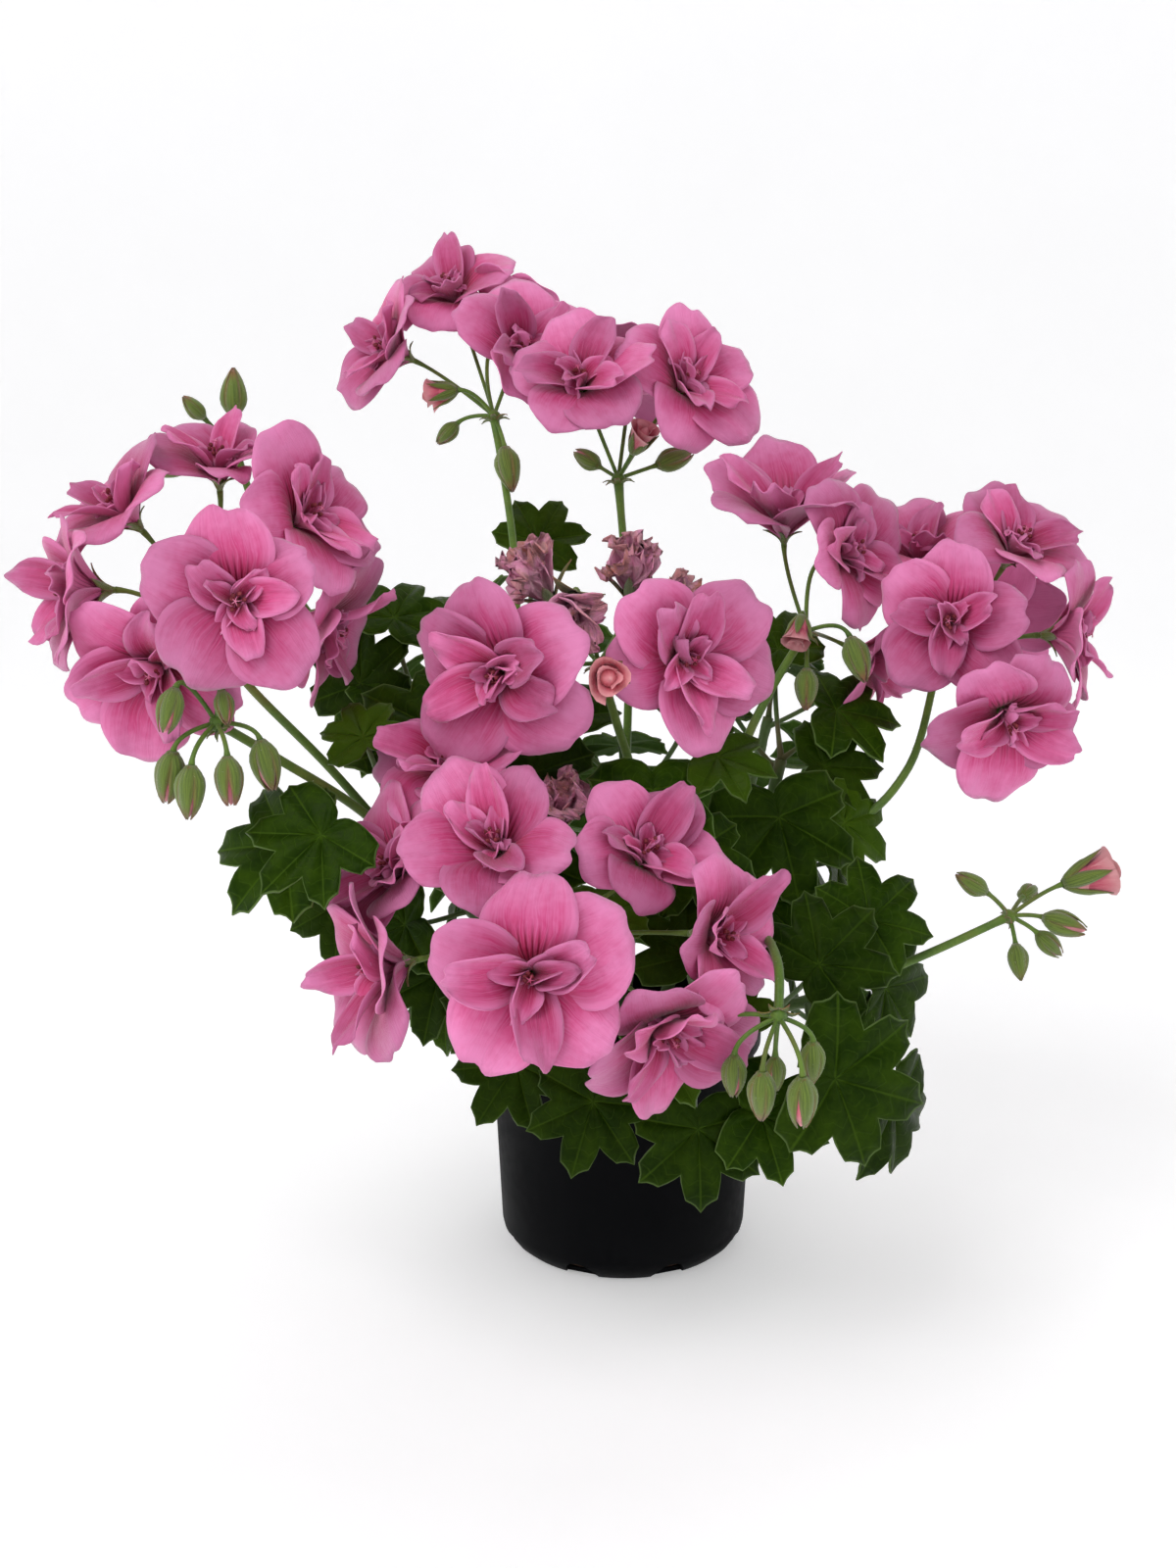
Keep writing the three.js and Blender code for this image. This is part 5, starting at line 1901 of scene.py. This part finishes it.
@dataclass
class FlowerHead:
    """A flower head's green: the stalk, its knuckle, and a pedicel for each bloom and bud."""

    name: str
    plan: HeadPlan
    number: int
    stations: int = 26
    bends: int = 12
    stalk_radius: float = 1.7
    pedicel_radius: float = 0.8
    calyx_depth: float = 7.4
    calyx_girth: Numbers = (1.1, 1.25, 1.5, 1.9, 2.5, 1.2)
    knuckle_girth: Numbers = (0.6, 2.0, 2.7, 2.9, 2.5, 1.6, 0.4)
    knuckle_length: float = 5.6
    sepal_length: float = 9.6
    sepal_wall: float = 0.35
    scale_length: float = 5.2
    scale_width: float = 2.6

    @property
    def knuckle(self) -> Points:
        """Where the pedicels meet."""
        return np.asarray(self.plan.path[-1], float)

    @property
    def seat(self) -> Seat:
        """The knuckle's own axes, facing the way that the stalk ends."""
        stalk = smooth_path(self.plan.path, self.stations)
        return Seat.facing(self.knuckle, unit(stalk[-1] - stalk[-3]))

    def blooms(self) -> list[Bloom]:
        """The head's open and withered blooms."""
        made: list[Bloom] = []
        for kind, plans, step in ((Bloom, self.plan.blooms, 10), (WitheredBloom, self.plan.withered, 7)):
            for n, plan in enumerate(plans):
                made.append(kind(f"{self.name}_{n + 1}", plan, step * self.number + n))
        return made

    def buds(self) -> list[Bud]:
        """The head's buds, each on the way that its pedicel takes."""
        made = []
        for n, (x, y, z, length) in enumerate(self.plan.buds):
            middle = np.array([x, y, z], float)
            hang = np.array([0.0, 0.0, -self.plan.nod])
            axis = unit(unit(middle - self.knuckle) * (1 - self.plan.nod) + hang)
            foot = middle - axis * length / 2
            made.append(Bud(foot, axis, length, 100 * self.number + 7 * n, n in self.plan.rosebuds))
        return made

    def pedicel(self, start: Points, axis: Points, slack: float, end: Points) -> tuple[Points, Points]:
        """A pedicel that leaves the knuckle and comes up under a bloom or bud.

        Args:
            start: the foot of the bloom or bud.
            axis: the way that the bloom or bud faces.
            slack: how far it bends, as a share of its length.
            end: where it ends.

        Returns:
            Its points and its radii.
        """
        bend = start - slack * np.linalg.norm(start - self.knuckle) * axis
        swelling = 1 + 0.5 * np.exp(-((np.linspace(0, 1, self.bends) - 1.0) / 0.12) ** 2)
        return bow(self.knuckle, bend, end, self.bends), self.pedicel_radius * swelling

    def green(self, kit: PetalKit) -> bpy.types.Object:
        """The stalk, the pedicels and the knuckle.

        Args:
            kit: holds the knuckle's body.

        Returns:
            The green as one piece.
        """
        along = np.linspace(0, 1, self.stations)
        radii = self.stalk_radius * (1.0 - 0.12 * along + 0.35 * np.exp(-((along - 1.0) / 0.04) ** 2))
        runs = [(smooth_path(self.plan.path, self.stations), radii)]
        for bloom in self.blooms():
            seat = bloom.seat
            start = seat.origin - self.calyx_depth * seat.z
            runs.append(self.pedicel(start, seat.z, 0.3, start))
            tube = np.linspace(start, seat.origin - 1.2 * seat.z, len(self.calyx_girth))
            runs.append((tube, np.array(self.calyx_girth)))
        for bud in self.buds():
            runs.append(self.pedicel(bud.foot, bud.axis, 0.35, bud.foot + 0.4 * bud.axis))
        tube = tubes(f"stalk_{self.name}_tubes", runs, 8)
        knuckle = rounded(kit.knuckle, self.seat, self.knuckle_girth, self.knuckle_length, -2.9)
        return joined([tube, knuckle], f"stalk_green_{self.name}")

    def scales(self, kit: PetalKit) -> list[bpy.types.Object]:
        """The small pointed scales that spread under the knuckle.

        Args:
            kit: holds the flat grids.

        Returns:
            The scales.
        """
        seat = self.seat
        spine = curling_spine(self.scale_length, 0.5, 0.9, 1.4, -2.6)
        made = []
        for i in range(6):
            turn = 2 * math.pi * i / 6
            x, y, z = sepal_points(kit, turn, self.scale_length, self.scale_width, spine, -0.1)
            part = kit.sepal.bent(seat.place(x, y, z))
            give_traits(part, 0.5 + 0.5 * wobble(self.number + i + 0.6))
            made.append(part)
        return made

    def calyx(self, kit: PetalKit, bloom: Bloom) -> list[bpy.types.Object]:
        """The five pointed sepals under a bloom, which outgrow a withered one.

        Args:
            kit: holds the flat grids.
            bloom: the bloom.

        Returns:
            The sepals.
        """
        seat = bloom.seat
        dry = isinstance(bloom, WitheredBloom)
        growth, lean, curl, width = (2.0, 0.5, 0.18, 4.6) if dry else (1.0, 0.38, 0.4, 3.6)
        made = []
        for i in range(5):
            k = bloom.seed * 5 + i
            own = self.sepal_length * (1 + 0.12 * wobble(k)) * growth
            own_lean = lean + 0.12 * wobble(k + 0.3)
            spine = curling_spine(own, own_lean, curl + 0.15 * wobble(k + 0.5), 1.0, -6.6)
            x, y, z = sepal_points(kit, 2 * math.pi * (i + 0.5) / 5, own, width, spine, 0.16)
            part = kit.sepal.bent(seat.place(x, y, z))
            give_traits(part, 0.5 + 0.5 * wobble(k + 0.6))
            made.append(part)
        return made

    def build(self, kit: PetalKit, finishes: Finishes) -> None:
        """Makes the head's green, its buds and its blooms, and fixes them to the plant.

        Args:
            kit: holds what they are made from.
            finishes: holds their materials.
        """
        green = self.green(kit)
        dress(green, finishes.stalk)
        shade(green)
        finish_piece(green, "stalk", f"stalk_{self.name}")
        sepals = self.scales(kit)
        for bloom in self.blooms():
            sepals += self.calyx(kit, bloom)
        petals: list[bpy.types.Object] = []
        for bud in self.buds():
            inside, closed = bud.parts(kit)
            for part in inside:
                dress(part, finishes.rosy)
            petals += inside
            sepals += closed
        leaves = joined(sepals, f"sepals_{self.name}")
        dress(leaves, finishes.sepal)
        thicken(leaves, self.sepal_wall)
        shade(leaves)
        finish_piece(leaves, "stalk")
        if petals:
            inner = joined(petals, f"bud_petals_{self.name}")
            shade(inner)
            finish_piece(inner, "petal")
        hairy = ((green, 160, 0.9), (leaves, 60 + 30 * len(self.plan.buds), 0.8))
        down = hairs(f"hairs_{self.name}", hairy, self.number)
        dress(down, finishes.hair)
        finish_piece(down, "stalk")
        for bloom in self.blooms():
            bloom.build(kit, finishes)


def hairs(name: str, skins: Sequence[tuple[bpy.types.Object, int, float]], seed: int) -> bpy.types.Object:
    """Short soft hairs that stand out from green skin, each a thin closed spike.

    Args:
        name: the object's name.
        skins: each piece that carries hairs, how many, and their usual length in millimetres.
        seed: makes the choice of places repeatable.

    Returns:
        The hairs as one mesh.
    """
    radius, sunk, lean = 0.05, 0.1, 0.3
    chance = np.random.default_rng(seed)
    points, spikes = [], []
    for piece, count, usual in skins:
        faces = piece.data.polygons
        area = np.array([f.area for f in faces])
        for n in chance.choice(len(faces), count, p=area / area.sum()):
            place = np.array(faces[n].center) / MM
            way = unit(np.array(faces[n].normal) + lean * chance.normal(size=3))
            length = usual * chance.uniform(0.6, 1.3)
            side = unit(np.cross(way, (0.31, 0.52, 0.8)))
            third = np.cross(way, side)
            start = len(points)
            for i in range(3):
                a = 2 * math.pi * i / 3
                points.append(place - sunk * way + radius * (math.cos(a) * side + math.sin(a) * third))
            points.append(place + length * way)
            spikes += [(start + i, start + (i + 1) % 3, start + 3) for i in range(3)]
            spikes.append((start + 2, start + 1, start))
    mesh = bpy.data.meshes.new(name)
    mesh.from_pydata(np.array(points) * MM, [], spikes)
    return linked(name, mesh)


# Leaves.

# Angle in degrees from the middle lobe, reach and rise of a leaf's margin at each half lobe.
LEAF_MARGIN = (
    (0, 1.03, 0.0),
    (25, 0.58, 1.0),
    (50, 0.96, 0.0),
    (76, 0.54, 1.0),
    (102, 0.82, 0.0),
    (142, 0.54, 0.6),
    (180, 0.26, 0.6),
)
# The change of reach from the tip of a lobe to the notch beside it, with a tooth on the way.
LEAF_TOOTH = (0.0, -0.012, 0.016, 0.06, 0.03, 0.012, 0.0)


@dataclass
class Leaf:
    """A fleshy ivy-shaped leaf."""

    plan: Numbers
    fold: float = 0.14
    droop: float = 0.12
    unevenness: float = 0.8
    wall: float = 0.75
    petiole_radius: float = 0.95
    bends: int = 14

    @property
    def seat(self) -> Seat:
        """Where the petiole meets the blade, with y along the middle lobe."""
        _, x, y, z, azimuth, elevation, clock, _ = self.plan
        return Seat.facing(np.array([x, y, z], float), aim(azimuth, elevation), clock)

    def blade(self, grid: Grid) -> bpy.types.Object:
        """The blade, with folds between its ribs and a waved margin.

        Args:
            grid: the flat grid that is bent round the middle of the leaf.

        Returns:
            The blade.
        """
        _, x, y, *_, reach = self.plan
        k = x * 1.7 + y
        angles, shares, rises = (np.array(column) for column in zip(*LEAF_MARGIN))
        # From the middle rib, where it is 0, the phase grows by 1 from each rib to the next.
        phase = 3.0 * np.abs(grid.u)
        stations = np.arange(len(angles)) * 0.5
        turn = np.radians(np.interp(phase, stations, angles)) * np.sign(grid.u)
        off_rib = 2 * np.abs(phase - np.round(phase))
        tooth = np.interp(off_rib, np.linspace(0, 1, len(LEAF_TOOTH)), LEAF_TOOTH) * (1 + 0.3 * wobble(k))
        share = (np.interp(phase, stations, shares) + tooth * (phase < 2.5)) * grid.v
        wave = 0.022 * np.sin(7 * turn + 3 * wobble(k + 0.2))
        wave = wave + 0.014 * np.sin(17 * turn + 3 * wobble(k + 0.4))
        droop = self.droop * (1 + self.unevenness * wobble(x + y))
        puff = 0.02 * np.sin(math.pi * off_rib) * np.sin(math.pi * np.clip(grid.v, 0, 1))
        rise = self.fold * np.interp(phase, stations, rises) ** 0.85 * share - droop * share**2
        height = reach * (rise + wave * grid.v**3 + puff)
        made = grid.bent(self.seat.place(np.sin(turn) * reach * share, np.cos(turn) * reach * share, height))
        youth = max(0.0, (25.5 - reach) / 8.0)
        give_traits(made, 0.5 + 0.5 * wobble(k + 0.5), 0.0, youth)
        return made

    def petiole(self, root: Points) -> tuple[Points, Points]:
        """The leaf's own stalk.

        Args:
            root: where it leaves the stem.

        Returns:
            Its points and its radii.
        """
        seat = self.seat
        bend = seat.origin - 0.35 * np.linalg.norm(seat.origin - root) * seat.z
        foot = seat.origin - 1.2 * seat.y - 0.5 * seat.z
        along = np.linspace(0, 1, self.bends)
        at_root, at_blade = np.exp(-((along / 0.08) ** 2)), np.exp(-(((along - 1) / 0.06) ** 2))
        return bow(root, bend, foot, self.bends), self.petiole_radius + 0.5 * at_root + 0.25 * at_blade


@dataclass
class LeafyStem:
    """A stem with its leaves and their petioles, swollen where they leave it."""

    name: str
    plan: StemPlan
    radius: float = 2.5
    stations: int = 40

    def build(self, kit: PetalKit, finishes: Finishes) -> None:
        """Makes the stem and its leaves, and fixes them to the plant.

        Args:
            kit: holds the flat grids.
            finishes: holds their materials.
        """
        leaves = [Leaf(plan) for plan in self.plan.leaves]
        along = np.linspace(0, 1, self.stations)
        swelling = sum(np.exp(-(((along - leaf.plan[0]) / 0.035) ** 2)) for leaf in leaves)
        radii = self.radius * (1 - 0.25 * along) + 0.35 * np.clip(swelling, 0, 1)
        runs = [(smooth_path(self.plan.path, self.stations), radii)]
        for leaf in leaves:
            root = smooth_path(self.plan.path, 1, leaf.plan[0])[0]
            runs.append(leaf.petiole(root))
        wood = tubes(f"stem_{self.name}", runs, 8)
        dress(wood, finishes.stem)
        shade(wood)
        finish_piece(wood, "stalk", f"leafy_stem_{self.name}")
        blades = joined([leaf.blade(kit.leaf) for leaf in leaves], f"leaves_{self.name}")
        tidy_mesh(blades, merge=0.01, outwards=False)
        dress(blades, finishes.leaf, finishes.leaf_back)
        thicken(blades, Leaf.wall, back=1, offset=0.0)
        shade(blades)
        finish_piece(blades, "leaf")


# The pot and its soil.


@dataclass
class Pot:
    """A thin tapered nursery pot with a rolled rim and drainage notches round its foot.

    Its profile runs up the outside, over the rim and down the inside.
    """

    foot: Ring = (41.5, 0.0)
    profile: tuple[Ring, ...] = (
        (44.6, 2.6), (46.6, 5.6), (47.2, 8.2), (48.0, 25.0), (49.0, 46.0), (50.2, 76.0), (50.4, 79.0),
        (52.2, 79.6), (52.6, 80.6), (52.8, 86.0), (53.0, 91.2), (52.6, 92.0), (51.0, 92.0), (50.6, 91.2),
        (50.2, 81.0), (48.9, 78.0), (47.4, 46.0), (45.7, 8.6), (43.4, 3.6), (40.5, 1.6),
    )
    sides: int = 96
    crease: float = 32.0
    notches: int = 8
    notch_width: float = 13.0
    notch_height: float = 6.6
    notch_depth: float = 15.0
    notch_radius: float = 47.2

    def build(self, finishes: Finishes) -> None:
        """Raises the wall ring by ring, cuts the notches and fixes the pot.

        Args:
            finishes: holds its material.
        """
        pot = turned("pot_shell", self.sides, self.foot, self.profile)
        tidy_mesh(pot)
        cutter = joined([self.cutter(i) for i in range(self.notches)], "notch_cutter")
        cut = pot.modifiers.new("notches", "BOOLEAN")
        cut.operation = "DIFFERENCE"
        cut.solver = "EXACT"
        cut.object = cutter
        apply_modifiers(pot)
        bpy.data.objects.remove(cutter)
        dress(pot, finishes.plastic)
        shade(pot, self.crease)
        finish_piece(pot, "pot", "pot")

    def cutter(self, i: int) -> bpy.types.Object:
        """The body of one arched notch, lying across the pot's bottom corner.

        Args:
            i: the notch's number.

        Returns:
            The body.
        """
        around = 2 * math.pi * (i + 0.5) / self.notches
        x, y = self.notch_radius * math.cos(around), self.notch_radius * math.sin(around)
        bpy.ops.mesh.primitive_cylinder_add(
            vertices=28,
            radius=1.0,
            depth=self.notch_depth * MM,
            location=(x * MM, y * MM, 0.0),
            rotation=(0, math.pi / 2, around),
        )
        made = bpy.context.object
        made.scale = (self.notch_height * MM, self.notch_width / 2 * MM, 1.0)
        bpy.ops.object.transform_apply(location=True, rotation=True, scale=True)
        return made


@dataclass
class Soil:
    """Peat that fills the pot, with a crumbled top that rises from its edge to its crown."""

    foot: Ring = (39.5, 1.95)
    wall: tuple[Ring, ...] = ((45.2, 8.4), (46.6, 40.0), (48.2, 73.0), (47.2, 75.4))
    edge: float = 76.0
    crown: float = 80.0
    steps: int = 15
    step: float = 2.9
    sides: int = 72
    crease: float = 40.0
    crumbs: int = 170
    crumbled: float = 46.0  # how far out the crumbs lie

    def build(self, finishes: Finishes) -> None:
        """Makes the body of the soil and its crumbs, and fixes them.

        Args:
            finishes: holds its material.
        """
        rise = self.crown - self.edge
        top = [
            (self.wall[-1][0] - self.step * i, self.edge + rise * i / self.steps)
            for i in range(1, self.steps + 1)
        ]
        soil = turned("soil_fill", self.sides, self.foot, [*self.wall, *top])
        tidy_mesh(soil)
        co = corners(soil) / MM
        x, y = co[:, 0], co[:, 1]
        lump = 0.9 * np.sin(0.31 * x + 1) * np.cos(0.27 * y)
        lump = lump + 0.6 * np.sin(0.9 * x + 0.5 * y) * np.cos(0.8 * y - 0.4 * x)
        lump = lump + 0.35 * np.sin(2.1 * x + 1.3) * np.sin(2.3 * y)
        co[:, 2] += np.clip((co[:, 2] - 74.0) / 2.0, 0, 1) * lump
        put_corners(soil, co)
        soil = joined([soil, *(self.crumb(i, co) for i in range(self.crumbs))], "soil_fill")
        dress(soil, finishes.soil)
        shade(soil, self.crease)
        finish_piece(soil, "soil", "soil")

    def crumb(self, i: int, ground: Points) -> bpy.types.Object:
        """One loose crumb that lies half sunk in the top.

        Args:
            i: its number.
            ground: the corners of the soil, in millimetres.

        Returns:
            The crumb.
        """
        k = 3.0 * i
        around = math.pi * wobble(k + 0.1)
        out = self.crumbled * math.sqrt(0.5 + 0.5 * wobble(k + 0.2))
        x, y = out * math.cos(around), out * math.sin(around)
        below = 1e6 * (ground[:, 2] < 73.5)  # keeps the crumb off the walls
        near = np.argmin((ground[:, 0] - x) ** 2 + (ground[:, 1] - y) ** 2 + below)
        size = 1.1 + 0.6 * wobble(k + 0.3)
        bpy.ops.mesh.primitive_ico_sphere_add(subdivisions=1, radius=1.0)
        made = bpy.context.object
        co = corners(made) * (size * 1.3, size, size * 0.75)
        co = co * (1 + 0.25 * np.sin(5 * co[:, :1] + i) * np.cos(4 * co[:, 1:2] - i))
        put_corners(made, co + (x, y, ground[near, 2] + 0.2 * size))
        return made


# The studio.


@dataclass(frozen=True)
class Lamp:
    """A soft square light, with its place and size in metres."""

    name: str
    at: tuple[float, float, float]
    size: float
    power: float

    def build(self, target: tuple[float, float, float]) -> None:
        """Hangs the lamp.

        Args:
            target: what it looks at.
        """
        data = bpy.data.lights.new(self.name, "AREA")
        data.size = self.size
        data.energy = self.power
        made = linked(self.name, data)
        made.location = self.at
        made.rotation_euler = (Vector(target) - Vector(self.at)).to_track_quat("-Z", "Y").to_euler()


@dataclass
class Studio:
    """A pale floor that curves up into a round wall, soft lights and the camera."""

    camera_at: tuple[float, float, float] = (-13.7, -700.0, 335.0)
    pitch: float = 12.5  # how far the camera looks down, in degrees
    lens: float = 44.0
    sensor: float = 36.0
    floor_radius: float = 1600.0
    floor_height: float = -0.4
    curve_radius: float = 1000.0
    wall_height: float = 2200.0
    floor_glow: float = 0.3
    air_glow: float = 0.2
    lamps: tuple[Lamp, ...] = (
        Lamp("key", (-0.8, -1.0, 1.7), 1.1, 16.5),
        Lamp("fill", (1.3, -0.9, 0.9), 1.6, 1.3),
        Lamp("crown", (0.2, 0.8, 1.9), 1.2, 8.0),
    )
    middle: tuple[float, float, float] = (0.0, 0.0, 0.2)  # of the plant, in metres

    def build(self) -> None:
        """Makes the floor, the lights and the camera."""
        self.floor()
        for lamp in self.lamps:
            lamp.build(self.middle)
        self.air()
        self.camera()
        bpy.context.scene.view_settings.view_transform = "Standard"

    def camera(self) -> None:
        """Sets up the camera."""
        data = bpy.data.cameras.new("camera")
        data.lens = self.lens
        data.sensor_width = self.sensor
        camera = linked("camera", data)
        camera.location = Vector(self.camera_at) * MM
        camera.rotation_euler = (math.radians(90.0 - self.pitch), 0.0, 0.0)
        bpy.context.scene.camera = camera

    def air(self) -> None:
        """Pale air that lights the plant softly from all round."""
        world = bpy.data.worlds.new("studio_air")
        world.use_nodes = True
        soft = world.node_tree.nodes["Background"]
        soft.inputs["Color"].default_value = (1.0, 0.985, 0.97, 1.0)
        soft.inputs["Strength"].default_value = self.air_glow
        bpy.context.scene.world = world

    def floor(self) -> None:
        """Makes the floor and its wall, far from the plant and open at the top."""
        rings = []
        for a in np.linspace(0, math.pi / 2, 13)[1:]:
            out, up = self.curve_radius * math.sin(a), self.curve_radius * (1 - math.cos(a))
            rings.append((self.floor_radius + out, self.floor_height + up))
        rings.append((self.floor_radius + self.curve_radius, self.floor_height + self.wall_height))
        made = turned("floor", 96, (self.floor_radius, self.floor_height), rings)
        bpy.ops.object.mode_set(mode="EDIT")
        bpy.ops.mesh.delete(type="ONLY_FACE")
        bpy.ops.object.mode_set(mode="OBJECT")
        shade(made, 40.0)
        g, sockets, material = start_material(
            "pale_floor",
            Roughness=0.7,
            Emission_Color=(1.0, 1.0, 1.0, 1.0),
            Emission_Strength=self.floor_glow,
        )
        material.cycles.emission_sampling = "NONE"
        cloud = g.noise(g.place(), 3.0, 2.0)
        g.feed(g.mix(cloud, rgba((0.84, 0.84, 0.85)), rgba((0.88, 0.88, 0.89))), sockets["Base Color"])
        dress(made, material)


def main() -> None:
    """Builds the studio, the pot and the plant, and reports each piece."""
    logging.basicConfig(level=logging.INFO, format="%(message)s")
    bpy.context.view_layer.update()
    Studio().build()
    finishes = Finishes()
    Pot().build(finishes)
    Soil().build(finishes)
    kit = PetalKit.model()
    for name, plan in LEAFY_STEMS.items():
        LeafyStem(name, plan).build(kit, finishes)
    for number, (name, plan) in enumerate(HEADS.items()):
        FlowerHead(name, plan, number).build(kit, finishes)
    kit.remove()


if __name__ == "__main__":
    main()
